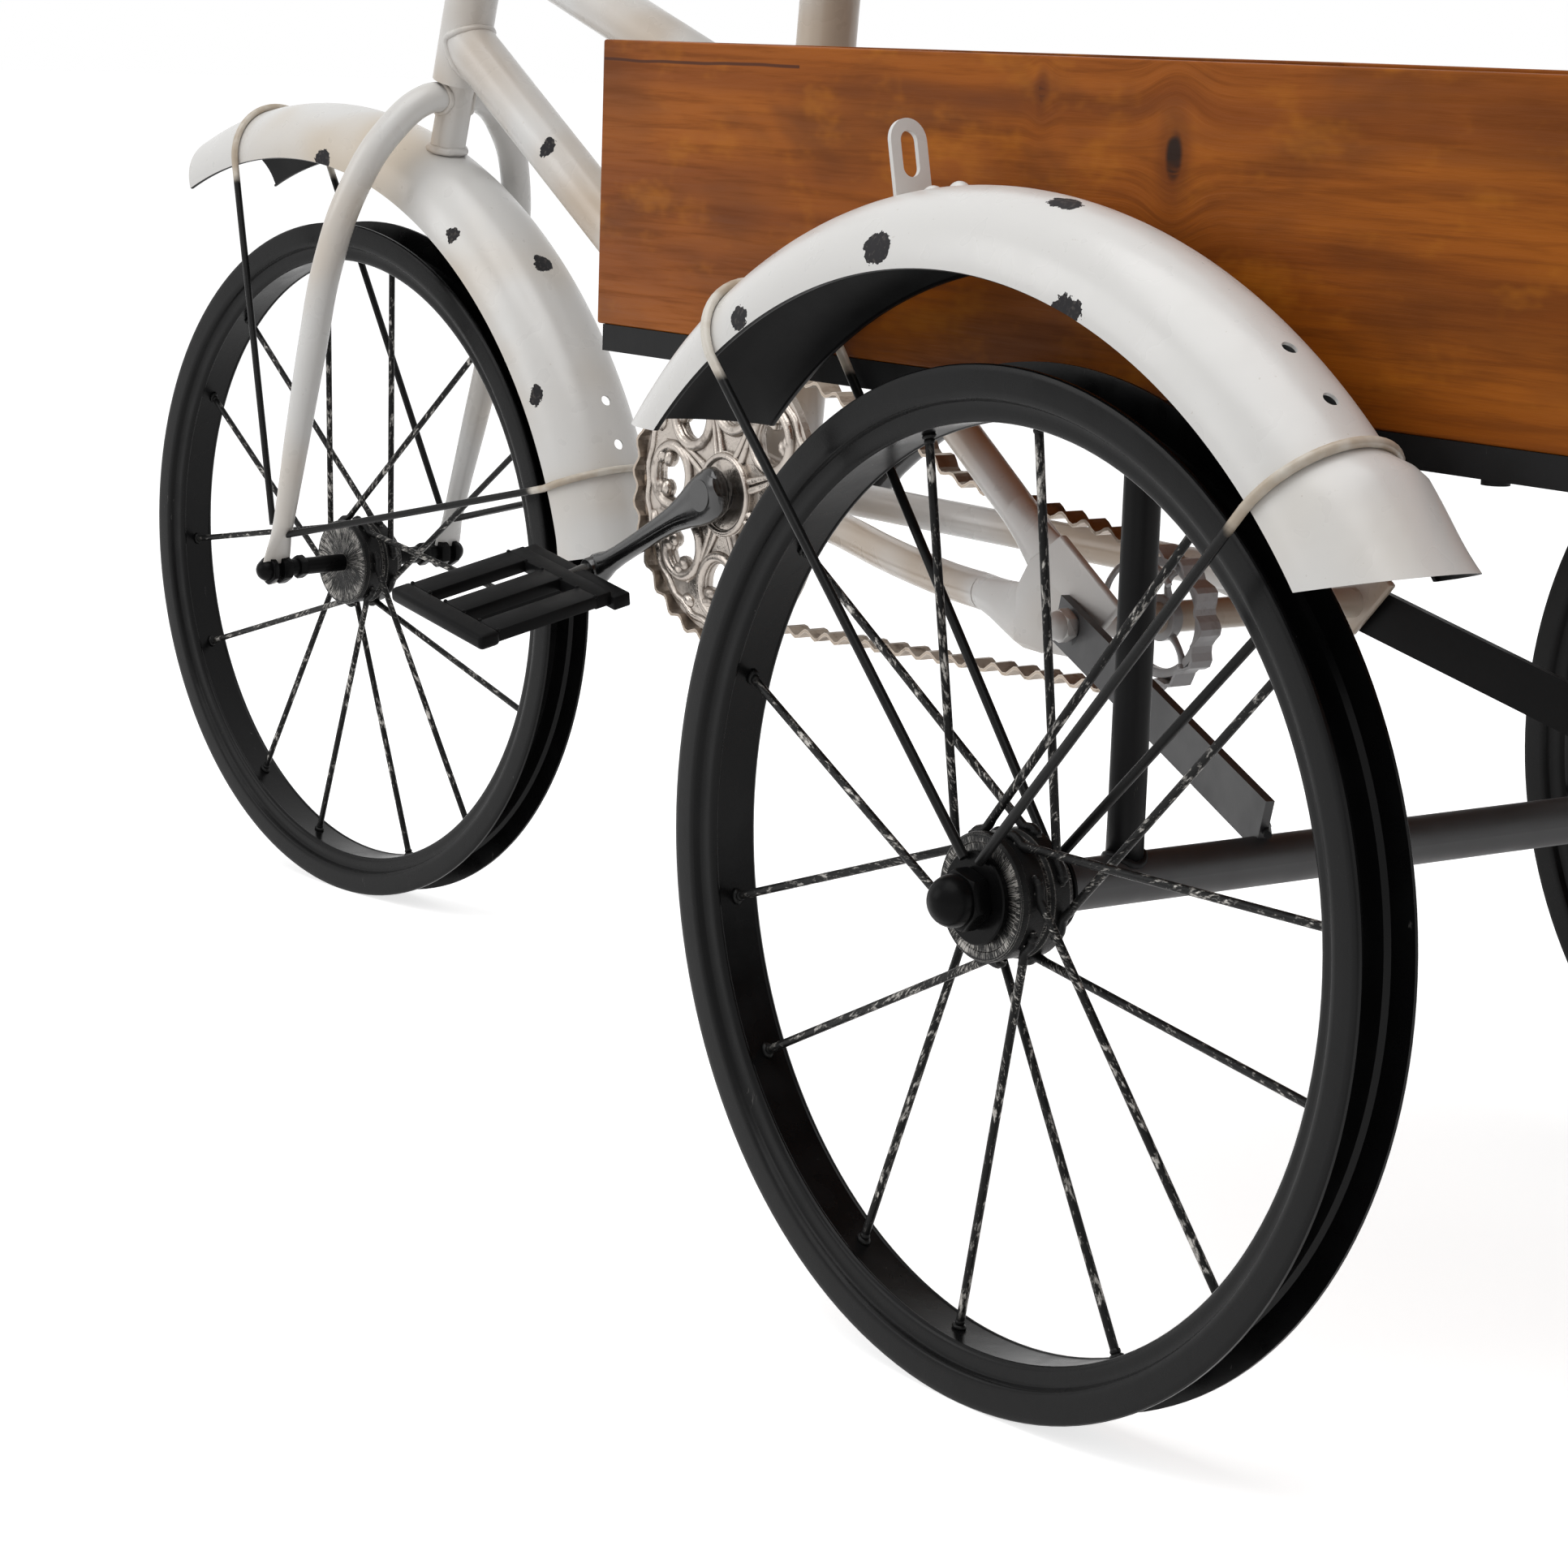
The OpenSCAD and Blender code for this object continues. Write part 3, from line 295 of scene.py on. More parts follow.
def lofted(stations, sides=64, angle=30, capped=True):
    """A bar along local z through oval rings (height, half width x, half width y, shift x, shift y)."""
    clear_selection()
    bpy.ops.mesh.primitive_circle_add(vertices=sides, radius=MM, fill_type="NOTHING")
    form = active()
    height, wide, deep, *shift = stations[0]
    x, y = (shift + [0, 0])[:2]
    with Editing(form):
        bpy.ops.transform.resize(value=(wide, deep, 1), center_override=(0, 0, 0))
        bpy.ops.transform.translate(value=(x * MM, y * MM, height * MM))
        for new_height, new_wide, new_deep, *shift in stations[1:]:
            new_x, new_y = (shift + [0, 0])[:2]
            step = Vector((new_x - x, new_y - y, new_height - height)) * MM
            bpy.ops.mesh.extrude_region_move(TRANSFORM_OT_translate={"value": step})
            bpy.ops.transform.resize(value=(new_wide / wide, new_deep / deep, 1),
                                     center_override=(new_x * MM, new_y * MM, new_height * MM))
            height, wide, deep, x, y = new_height, new_wide, new_deep, new_x, new_y
    recalculate(form)
    smooth(form, angle)
    return close_ends(form) if capped else form


def turned(profile, sides=64, angle=30, closed=False):
    """A form turned about local z from (radius, height) pairs; a closed one ends where it starts."""
    rings = [(height, radius, radius) for radius, height in (profile + profile[:1] if closed else profile)]
    return smooth(lofted(rings, sides, angle, not closed), angle)


def block(low, high, edge, segments=2):
    """A box between two corners in millimetres, with its edges broken."""
    clear_selection()
    bpy.ops.mesh.primitive_cube_add(size=1, location=[(a + b) / 2 * MM for a, b in zip(low, high)])
    form = active()
    form.scale = [(b - a) * MM for a, b in zip(low, high)]
    bevel(settle(form), edge, segments)
    return smooth(form)


def axis_matrix(place, direction):
    """Turns local z to a direction, at a place."""
    return at(place) @ direction.to_track_quat("Z", "Y").to_matrix().to_4x4()


def ring_about(start, towards, across, radius, knots=28):
    """Points round a line, square to it."""
    side = towards.cross(across).normalized()
    rise = side.cross(towards)
    turns = [2 * math.pi * knot / knots for knot in range(knots)]
    return [start + (side * math.cos(turn) + rise * math.sin(turn)) * radius * MM for turn in turns]


def meeting(start, end, radius, other, other_axis, other_radius):
    """Points where a tube from start to end meets the surface of a round tube."""
    towards = (end - start).normalized()
    flat = towards - other_axis * towards.dot(other_axis)
    points = []
    for place in ring_about(start, towards, other_axis, radius):
        off = place - other
        off -= other_axis * off.dot(other_axis)
        a, b, c = flat.dot(flat), 2 * flat.dot(off), off.dot(off) - (other_radius * MM) ** 2
        points.append(place + towards * (-b - math.sqrt(max(b * b - 4 * a * c, 0))) / (2 * a))
    return points


def meeting_plane(start, towards, radius, plane_point, normal):
    """Points where a tube that runs towards a plane meets it."""
    return [place + towards * (plane_point - place).dot(normal) / towards.dot(normal)
            for place in ring_about(start, towards, Vector((0.3, 0.9, 0.2)), radius)]


def bead(points, half_width, closed=True):
    """A weld bead along a line of points."""
    weld = bent_tube(points, half_width, ring=3, steps=4, closed=closed)
    roughen(weld, 4 * MM, half_width * 0.5 * MM)
    return weld


def blob(place, size, turn=HERE):
    """A lump of weld metal, stretched to a size in millimetres."""
    clear_selection()
    bpy.ops.mesh.primitive_ico_sphere_add(subdivisions=2, radius=MM)
    lump = active()
    lump.scale = size
    smooth(settle(lump), 60)
    return settle(lump, at(place) @ turn)


def chamfered_nut(across, length, dome=0.0, neck=0.0):
    """A hexagon nut along local z from 0, its corners cut back by a cone, with a dome where it has one."""
    clear_selection()
    corner, flat, cut = across / 2, across * 0.45, across * 0.045
    bpy.ops.mesh.primitive_cylinder_add(vertices=6, radius=corner * MM, depth=length * MM,
                                        location=(0, 0, length / 2 * MM))
    nut = settle(active())
    cutter = turned([(flat, -0.01), (corner + 0.01, cut), (corner + 0.01, length - cut),
                     (flat, length + 0.01)], 48)
    modify(nut, "BOOLEAN", object=cutter, operation="INTERSECT", solver="EXACT")
    bpy.data.objects.remove(cutter)
    bevel(nut, 0.3, 2, 35)
    smooth(nut)
    if not dome:
        return nut
    r, top = dome / 2, length + neck
    bulge = [polar(r / MM, step * 9) for step in range(10)]
    rings = [(r * 0.94, length - 0.6), (r, length - 0.1), *[(p.x, top + p.z) for p in bulge]]
    return join(nut, turned(rings + [(r * 0.04, top + r)], 48, 60))


# ---- Finishes ----------------------------------------------------------------------------

FINISHES = {}


class Signal:
    """A value in a node tree, so that sums on it read as plain sums."""

    def __init__(self, tree, socket):
        self.tree, self.socket = tree, socket

    def __add__(self, other):
        return self.tree.math("ADD", self, other)

    def __sub__(self, other):
        return self.tree.math("SUBTRACT", self, other)

    def __rsub__(self, other):
        return self.tree.math("SUBTRACT", other, self)

    def __mul__(self, other):
        return self.tree.math("MULTIPLY", self, other)

    def __truediv__(self, other):
        return self.tree.math("DIVIDE", self, other)

    def __pow__(self, other):
        return self.tree.math("POWER", self, other)

    def over(self, other):
        """The larger of two values."""
        return self.tree.math("MAXIMUM", self, other)


class Nodes:
    """A node tree that is filled one node at a time."""

    def __init__(self, tree):
        self.nodes, self.links = tree.nodes, tree.links
        self.nodes.clear()

    def put(self, socket, value):
        if isinstance(value, Signal):
            self.links.new(value.socket, socket)
        else:
            socket.default_value = tuple(value) if isinstance(value, Vector) else value

    def add(self, kind, values, **settings):
        node = self.nodes.new(kind)
        for key, value in settings.items():
            setattr(node, key, value)
        for key, value in values.items():
            self.put(node.inputs[key], value)
        return node

    def signal(self, kind, output=0, values={}, **settings):
        return Signal(self, self.add(kind, values, **settings).outputs[output])

    def math(self, operation, first, second=0.0, clamp=False):
        return self.signal("ShaderNodeMath", 0, {0: first, 1: second}, operation=operation, use_clamp=clamp)

    def vector(self, operation, first, second=(0, 0, 0), output=0):
        return self.signal("ShaderNodeVectorMath", output, {0: first, 1: second}, operation=operation)

    def seen(self):
        """1 where a surface is looked at, straight or in a reflection, and 0 where it only lights."""
        path = self.add("ShaderNodeLightPath", {})
        camera, glossy, through = [Signal(self, path.outputs[f"Is {kind} Ray"])
                                   for kind in ("Camera", "Glossy", "Transmission")]
        return camera.over(glossy.over(through))


class Finish(Nodes):
    """One material, which is kept under its name once it is shaded."""

    def __init__(self, name):
        self.material = bpy.data.materials.new(name)
        self.material.use_nodes = True
        super().__init__(self.material.node_tree)
        self.principled = self.add("ShaderNodeBsdfPrincipled", {})
        self.surface = Signal(self, self.principled.outputs["BSDF"])
        self.output = self.add("ShaderNodeOutputMaterial", {"Surface": self.surface})
        self.place = self.signal("ShaderNodeTexCoord", "Object")
        FINISHES[name] = self.material

    def combine(self, *parts):
        return self.signal("ShaderNodeCombineXYZ", 0, dict(enumerate(parts)))

    def stretched(self, scale=(1, 1, 1), turn=(0, 0, 0), shift=(0, 0, 0), where=None):
        return self.signal("ShaderNodeMapping", 0, {"Vector": where or self.place, "Scale": scale,
                                                    "Rotation": turn, "Location": shift})

    def noise(self, scale, detail=3.0, roughness=0.5, distortion=0.0, where=None, output="Fac"):
        return self.signal("ShaderNodeTexNoise", output, {
            "Vector": where or self.place, "Scale": scale, "Detail": detail, "Roughness": roughness,
            "Distortion": distortion})

    def fade(self, value, low, high, start=0.0, end=1.0):
        return self.signal("ShaderNodeMapRange", "Result", {
            "Value": value, "From Min": low, "From Max": high, "To Min": start, "To Max": end},
            interpolation_type="SMOOTHSTEP", clamp=True)

    def mix(self, share, first, second):
        return self.signal("ShaderNodeMix", 2, {0: share, 6: self.tone(first), 7: self.tone(second)},
                           data_type="RGBA")

    def tone(self, value):
        return value if isinstance(value, Signal) else (*value, 1.0)

    def edges(self, radius, low, high):
        """1 on the edges, from how far a rounded normal leans away."""
        rounded = self.signal("ShaderNodeBevel", 0, {"Radius": radius}, samples=4)
        plain = self.signal("ShaderNodeNewGeometry", "Normal")
        return self.fade(1.0 - self.vector("DOT_PRODUCT", rounded, plain, "Value"), low, high)

    def hollows(self, distance, low, high):
        open_share = self.signal("ShaderNodeAmbientOcclusion", "AO", {"Distance": distance}, samples=6)
        return self.fade(1.0 - open_share, low, high)

    def spots(self, marks, jag=220.0, reach=0.008):
        """1 inside a ragged patch round each (place, radius, stretch) mark."""
        shift = self.vector("SUBTRACT", self.noise(jag, 3.0, 0.7, output="Color"), (0.5, 0.5, 0.5))
        shift = self.signal("ShaderNodeVectorMath", 0, {0: shift, 3: reach}, operation="SCALE")
        ragged = self.vector("ADD", self.place, shift)
        share = None
        for place, radius, stretch in marks:
            local = self.vector("MULTIPLY", self.vector("SUBTRACT", ragged, place), stretch)
            inside = self.math("LESS_THAN", self.vector("LENGTH", local, output="Value"), radius)
            share = inside if share is None else share.over(inside)
        return share

    def bump(self, height, distance, strength):
        values = {"Height": height, "Distance": distance, "Strength": strength}
        return self.signal("ShaderNodeBump", 0, values)

    def shade(self, **values):
        for key, value in values.items():
            name = key.replace("_", " ")
            self.put(self.principled.inputs[name], self.tone(value) if name == "Base Color" else value)


def aged_paint(name, tone, smudge, smudge_from, chips=()):
    """Off-white gloss paint, tinted tan in cloudy patches, with painted shade in its hollows and dark chips.
    """
    finish = Finish(name)
    cloud = finish.noise(9.0, 2.0)
    color = finish.mix(finish.fade(cloud, smudge_from, smudge_from + 0.22, 0.0, 0.9), tone, smudge)
    # painted shade: the paint turns dark grey in its hollows and where parts meet, found by ambient occlusion
    color = finish.mix(finish.hollows(0.012, 0.35, 0.95) * 0.55, color, (0.2, 0.19, 0.19))
    speckle = finish.fade(finish.noise(420.0, 2.0, 0.6), 0.72, 0.76, 0.0, 0.35)
    color = finish.mix(speckle, color, (0.42, 0.37, 0.3))
    wave = finish.noise(60.0, 2.0)
    height, roughness = wave, finish.fade(wave, 0.3, 0.7, 0.26, 0.38)
    gloss, coat = 0.5, 0.25
    if chips:
        chip = finish.spots(chips)
        grain = finish.fade(finish.noise(500.0), 0.5, 0.75)
        color = finish.mix(chip, color, finish.mix(grain, (0.022, 0.021, 0.023), (0.075, 0.066, 0.062)))
        roughness = roughness.over(chip * 0.6)
        height = height - chip * 0.8
        gloss, coat = finish.fade(chip, 0.0, 1.0, gloss, 0.12), finish.fade(chip, 0.0, 1.0, coat, 0.0)
    finish.shade(Base_Color=color, Roughness=roughness, Normal=finish.bump(height, 0.0006, 0.5),
                 Specular_IOR_Level=gloss, Coat_Weight=coat, Coat_Roughness=0.2)


def black_paint(name, base=0.0075, gloss=0.11, scuff=0.35, rough=0.42):
    """Satin black paint with faint scuffs and dust."""
    finish = Finish(name)
    patch, dust = finish.noise(35.0, 3.0, 0.6), finish.noise(900.0, 2.0, 0.6)
    color = finish.mix(patch, (base * 0.7,) * 3, (base * 1.5, base * 1.5, base * 1.6))
    scratch = finish.noise(160.0, 4.0, 0.8, where=finish.stretched((1.0, 1.0, 0.25), (0.4, 0.2, 0.6)))
    marks = finish.fade(scratch, 0.66, 0.72) * finish.fade(patch, 0.52, 0.62)
    finish.shade(Base_Color=finish.mix(marks * scuff, color, (0.16, 0.155, 0.15)), Specular_IOR_Level=gloss,
                 Roughness=finish.fade(patch, 0.3, 0.7, rough - 0.06, rough + 0.08),
                 Normal=finish.bump(patch + dust * 0.12, 0.0006, 0.35))


def rubbed_black(name, centre, axis):
    """Gloss black rubbed through to steel in fine streaks that run out from an axle."""
    finish = Finish(name)
    ahead = axis.cross(Z).normalized()
    off = finish.vector("SUBTRACT", finish.place, centre)
    forwards, upwards, sideways = [finish.vector("DOT_PRODUCT", off, way, "Value")
                                   for way in (ahead, ahead.cross(axis).normalized(), axis)]
    radius = finish.math("SQRT", forwards ** 2.0 + upwards ** 2.0)
    streaks = finish.combine(finish.math("ARCTAN2", upwards, forwards) * 0.055, radius * 0.16, sideways * 0.6)
    brushed, area = finish.noise(1000.0, 3.0, 0.7, where=streaks), finish.noise(55.0, 3.0, 0.6)
    edge = finish.edges(0.0011, 0.05, 0.25) * finish.fade(brushed, 0.36, 0.54)
    # the drum stays glossy black, its faces are brushed bright, and the welds at the rim are painted over
    drum = finish.fade(radius, 0.0232, 0.0245) * finish.fade(radius, 0.030, 0.027)
    face = finish.fade(radius, 0.0165, 0.019) * finish.fade(radius, 0.0243, 0.0230)
    far = finish.fade(radius, 0.166, 0.176)
    worn = finish.fade(brushed + area * 0.55 + face * 0.05 - drum * 0.3, 0.8008, 0.9872)
    worn = finish.math("ADD", worn, edge, clamp=True) * (1.0 - far)
    finish.shade(Base_Color=finish.mix(worn * 0.9, (0.009, 0.009, 0.009), (0.46, 0.44, 0.41)),
                 Metallic=worn * 0.8, Specular_IOR_Level=finish.fade(worn, 0.0, 1.0, 0.12, 0.5),
                 Roughness=finish.fade(area, 0.35, 0.65, 0.26, 0.42),
                 Normal=finish.bump(brushed + area, 0.0005, 0.5))


def cast_silver(name, tone, patina, rough, painted_from=None):
    """Warm cast metal, dark in the hollows and bright where it stands up, grey paint behind painted_from."""
    finish = Finish(name)
    cloud, pits = finish.noise(70.0, 4.0, 0.65), finish.noise(240.0, 3.0, 0.7)
    dark = finish.hollows(0.006, 0.25, 0.8).over(finish.fade(cloud, 0.56, 0.7, 0.0, 0.7))
    color = finish.mix(dark, tone, patina)
    color = finish.mix(finish.edges(0.001, 0.05, 0.3) * 0.5, color, (0.72, 0.68, 0.63))
    bare = finish.fade(dark, 0.0, 1.0, 1.0, 0.55)
    if painted_from is not None:
        run = finish.signal("ShaderNodeSeparateXYZ", "X", {0: finish.place})
        paint = finish.fade(run + cloud * 0.012, painted_from, painted_from + 0.002)
        color = finish.mix(paint, color, finish.mix(dark * 0.55, (0.44, 0.44, 0.45), (0.16, 0.13, 0.11)))
        bare = bare * (1.0 - paint)
    finish.shade(Base_Color=color, Roughness=finish.fade(cloud, 0.3, 0.7, rough - 0.08, rough + 0.14),
                 Metallic=bare, Normal=finish.bump(cloud + pits * 0.3, 0.0012, 0.6))


def plated_steel(name):
    finish = Finish(name)
    brushed = finish.noise(300.0, 3.0, 0.6, where=finish.stretched((1.0, 0.12, 1.0)))
    stain = finish.noise(22.0, 3.0, 0.6)
    finish.shade(Base_Color=finish.mix(finish.fade(stain, 0.45, 0.75), (0.5, 0.48, 0.45), (0.24, 0.21, 0.18)),
                 Roughness=finish.fade(brushed + stain, 0.6, 1.3, 0.26, 0.48), Metallic=1.0,
                 Normal=finish.bump(brushed, 0.0003, 0.3))


def stained_pine(name, along="X", seed=0.0, knots=(), crack=None):
    """Orange-brown stained pine. Knots are (along, height, size) on the board's face."""
    finish = Finish(name)
    place = finish.add("ShaderNodeSeparateXYZ", {0: finish.place})
    run, side, height = [Signal(finish, place.outputs[axis])
                         for axis in (along, "Y" if along == "X" else "X", "Z")]
    # the growth lines run level, and swell round each knot
    level, eye = height, None
    for knot_run, knot_height, size in knots:
        away_run = (run - knot_run) / (size * 1.6)
        away_height = (height - knot_height) / (size * 3.2)
        near = finish.math("POWER", 2.718, (away_run ** 2.0 + away_height ** 2.0) * -1.0)
        level = level - away_height * near * (size * 2.2)
        eye = near if eye is None else eye.over(near)
    lines = finish.stretched(where=finish.combine(run * 0.05, side * 0.3, level),
                             shift=(seed, seed * 0.7, seed * 1.3))
    broad, fine = finish.noise(34.0, 3.0, 0.55, 0.6, lines), finish.noise(260.0, 4.0, 0.65, 0.3, lines)
    pores = finish.noise(900.0, 2.0, 0.6, where=lines)
    blotch = finish.noise(13.0, 3.0, 0.6, 0.4, finish.stretched((0.6, 1.0, 1.5), shift=(seed, 0, seed)))
    mottle = finish.noise(48.0, 3.0, 0.65, where=finish.stretched((0.5, 1.0, 1.0), shift=(0, seed, 0)))
    color = finish.mix(finish.fade(broad, 0.34, 0.66), (0.355, 0.099, 0.0085), (0.225, 0.056, 0.0045))
    for share, tone in ((finish.fade(fine, 0.42, 0.7, 0.0, 0.5), (0.13, 0.032, 0.0040)),
                        (finish.fade(blotch, 0.44, 0.68, 0.0, 0.7), (0.125, 0.034, 0.005)),
                        (finish.fade(mottle, 0.52, 0.75, 0.0, 0.5), (0.44, 0.145, 0.011))):
        color = finish.mix(share, color, tone)
    if eye is not None:
        ring = finish.noise(180.0, 3.0, 0.6, 1.0, lines)
        color = finish.mix(finish.fade(eye, 0.45, 1.0, 0.0, 0.6), color, (0.10, 0.022, 0.004))
        core = finish.fade(eye, 0.88, 0.97) * finish.fade(ring, 0.45, 0.6)
        color = finish.mix(core, color, (0.02, 0.008, 0.004))
    if crack is not None:
        start, end, crack_height = crack
        wander = (finish.noise(11.0, 2.0) - 0.5) * 0.006
        off = finish.math("ABSOLUTE", height - crack_height + wander)
        inside = finish.math("GREATER_THAN", run, start) * finish.math("LESS_THAN", run, end)
        line = finish.fade(off, 0.0004, 0.0009, 1.0, 0.0) * inside
        color = finish.mix(line * 0.85, color, (0.05, 0.014, 0.006))
    color = finish.mix(finish.edges(0.0012, 0.06, 0.35) * 0.5, color, (0.13, 0.045, 0.015))
    finish.shade(Base_Color=color, Roughness=finish.fade(fine, 0.3, 0.7, 0.36, 0.52), Specular_IOR_Level=0.08,
                 Normal=finish.bump(fine * 0.6 + pores * 0.4, 0.0005, 0.45))


def grip_rubber(name):
    finish = Finish(name)
    dust = finish.noise(40.0, 3.0, 0.6)
    finish.shade(Base_Color=finish.mix(dust, (0.018, 0.017, 0.016), (0.04, 0.037, 0.033)),
                 Roughness=finish.fade(dust, 0.3, 0.7, 0.55, 0.75),
                 Normal=finish.bump(finish.noise(700.0, 3.0, 0.6), 0.0004, 0.5))


def saddle_leather(name):
    finish = Finish(name)
    cells = finish.signal("ShaderNodeTexVoronoi", "Distance", {"Vector": finish.place, "Scale": 520.0},
                          feature="SMOOTH_F1")
    creases = finish.noise(45.0, 4.0, 0.6, 0.4)
    finish.shade(Base_Color=finish.mix(creases, (0.012, 0.011, 0.011), (0.03, 0.027, 0.026)),
                 Roughness=finish.fade(creases, 0.3, 0.7, 0.42, 0.6),
                 Normal=finish.bump(cells + creases * 0.8, 0.0006, 0.6))


def wire_paint(name, centre, axis, reach):
    """Black below a mudguard's edge and cream over its crown, told by the distance from the arc's middle."""
    finish = Finish(name)
    flat = finish.vector("CROSS_PRODUCT", finish.vector("SUBTRACT", finish.place, centre), axis)
    away = finish.vector("LENGTH", flat, output="Value")
    over = finish.fade(away + (finish.noise(160.0) - 0.5) * 0.006, (reach - 5) * MM, (reach + 1) * MM)
    patch = finish.noise(50.0, 3.0, 0.6)
    dark = finish.mix(patch, (0.006, 0.006, 0.006), (0.014, 0.014, 0.014))
    pale = finish.mix(finish.fade(patch, 0.35, 0.65), (0.66, 0.62, 0.55), (0.46, 0.38, 0.29))
    finish.shade(Base_Color=finish.mix(over, dark, pale), Roughness=finish.fade(patch, 0.3, 0.7, 0.26, 0.36),
                 Specular_IOR_Level=finish.fade(over, 0.0, 1.0, 0.12, 0.45),
                 Normal=finish.bump(finish.noise(300.0), 0.0003, 0.3))


def studio_paper(tone):
    """Pale paper that is seen brighter than it lights, so that only the object's shadow shows on it."""
    paper = Finish("studio_paper")
    paper.shade(Base_Color=tone, Roughness=0.9, Specular_IOR_Level=0.1)
    glow = paper.signal("ShaderNodeEmission", 0, {"Strength": paper.seen() * 0.74})
    both = paper.signal("ShaderNodeAddShader", 0, {0: paper.surface, 1: glow})
    paper.put(paper.output.inputs["Surface"], both)
    return paper.material


# The chips in the paint: place, radius and stretch
FRAME_CHIPS = [((-0.3138, -0.0117, 0.4525), 0.0052, (1.2, 1.0, 0.75))]
FORK_CHIPS = [((-0.4717, -0.0600, 0.3911), 0.0036, (1.0, 1.0, 1.0))]
REAR_CHIPS = [((0.3344, -0.2888, 0.4396), 0.0062, (0.8, 1.0, 1.0)),
              ((0.2493, -0.2895, 0.4066), 0.0048, (0.8, 1.0, 1.0)),
              ((0.4150, -0.2662, 0.4604), 0.0055, (0.7, 1.0, 1.0)),
              ((0.4453, -0.2900, 0.4240), 0.0065, (0.8, 1.0, 1.1)),
              ((0.5775, -0.2330, 0.3490), 0.0085, (1.0, 0.8, 1.0))]
FRONT_CHIPS = [((-0.3899, -0.0243, 0.4004), 0.0048, (1.0, 1.0, 1.0)),
               ((-0.3452, 0.0073, 0.3874), 0.0052, (0.8, 1.0, 0.9)),
               ((-0.3133, -0.0165, 0.3181), 0.0046, (1.2, 1.0, 0.7)),
               ((-0.5117, -0.0375, 0.4366), 0.0060, (0.8, 1.0, 1.0))]


def make_finishes(cream):
    right_chips = [((x, -y, z), radius, stretch) for (x, y, z), radius, stretch in REAR_CHIPS]
    aged_paint("frame_paint", cream, (0.51, 0.405, 0.30), 0.39, FRAME_CHIPS)
    aged_paint("fork_paint", cream, (0.62, 0.54, 0.45), 0.5, FORK_CHIPS)
    aged_paint("left_guard_paint", cream, (0.70, 0.64, 0.56), 0.60, REAR_CHIPS)
    aged_paint("right_guard_paint", cream, (0.66, 0.58, 0.48), 0.56, right_chips)
    aged_paint("front_guard_paint", cream, (0.60, 0.51, 0.40), 0.44, FRONT_CHIPS)
    aged_paint("sprocket_grey_paint", (0.42, 0.42, 0.43), (0.10, 0.085, 0.075), 0.50)
    black_paint("satin_black_paint")
    black_paint("nut_black_paint", base=0.0035, gloss=0.06, scuff=0.15, rough=0.28)
    # a lighter copy of the black paint: its raised base is painted light for the lit axle tube and near strap
    black_paint("lit_black_paint", base=0.034, gloss=0.5, scuff=0.3, rough=0.45)
    black_paint("rim_black_paint", base=0.0042, gloss=0.12, scuff=0.5, rough=0.27)
    black_paint("crank_gloss_black", base=0.005, gloss=0.75, scuff=0.15, rough=0.17)
    black_paint("pedal_black_paint", base=0.006, gloss=0.05, scuff=0.25, rough=0.38)
    steered_axle = STEERED.to_3x3() @ Y
    rubbed_black("left_rubbed_black", LEFT_WHEEL_AT, Y)
    rubbed_black("right_rubbed_black", RIGHT_WHEEL_AT, Y)
    rubbed_black("front_rubbed_black", FRONT_WHEEL_AT, steered_axle)
    cast_silver("antique_silver", (0.42, 0.378, 0.34), (0.085, 0.068, 0.057), 0.29)
    cast_silver("strip_silver", (0.36, 0.30, 0.245), (0.10, 0.068, 0.046), 0.4, painted_from=0.216)
    plated_steel("dull_plated_steel")
    grip_rubber("grip_rubber")
    saddle_leather("saddle_leather")
    wire_paint("rear_stay_paint", REAR_ARC, Y, 240)
    wire_paint("front_stay_paint", STEERED @ FRONT_ARC, steered_axle, 255)
    stained_pine("left_board_pine", "X", 0.0, ((0.3492, 0.4990, 0.0042), (0.4247, 0.4780, 0.0095)),
                 crack=(0.0540, 0.1960, 0.5035))
    stained_pine("right_board_pine", "X", 3.1, ((0.15, 0.44, 0.006), (0.58, 0.47, 0.008)))
    stained_pine("end_board_pine", "Y", 7.3, ((0.08, 0.46, 0.007),))
    stained_pine("floor_board_pine", "X", 5.7)


NODE_FINISHES = {
    "frame_paint": "head_tube down_tube top_tube seat_tube bottom_bracket_shell seatstay_left seatstay_right "
                   "chainstay_left chainstay_right dropout_left dropout_right spacer_tube dropout_bolts "
                   "fork_steerer fork_blade_left fork_blade_right mudguard_tabs",
    "left_guard_paint": "mudguard_left",
    "right_guard_paint": "mudguard_right",
    "front_guard_paint": "front_mudguard",
    # the axle tube and the near strap take the black with painted light; the far strap takes the plain satin
    # black
    "lit_black_paint": "axle_tube strap_left",
    "satin_black_paint": "strap_right axle_studs axle_nuts upright_left upright_right box_frame frame_screws "
                         "left_pedal right_pedal saddle",
    "rear_stay_paint": "mudguard_stays",
    "front_stay_paint": "front_stays",
    "rim_black_paint": "left_rim right_rim front_rim",
    "left_rubbed_black": "left_spokes left_hub",
    "right_rubbed_black": "right_spokes right_hub",
    "front_rubbed_black": "front_spokes front_hub",
    "nut_black_paint": "front_axle",
    "crank_gloss_black": "crank_arm_left crank_arm_right crank_axle pedal_spindles",
    "antique_silver": "chainring",
    "sprocket_grey_paint": "rear_sprocket",
    "strip_silver": "chain_strip",
    "dull_plated_steel": "seat_post stem handlebar",
    "grip_rubber": "grips",
}


# ---- Settings ----------------------------------------------------------------------------

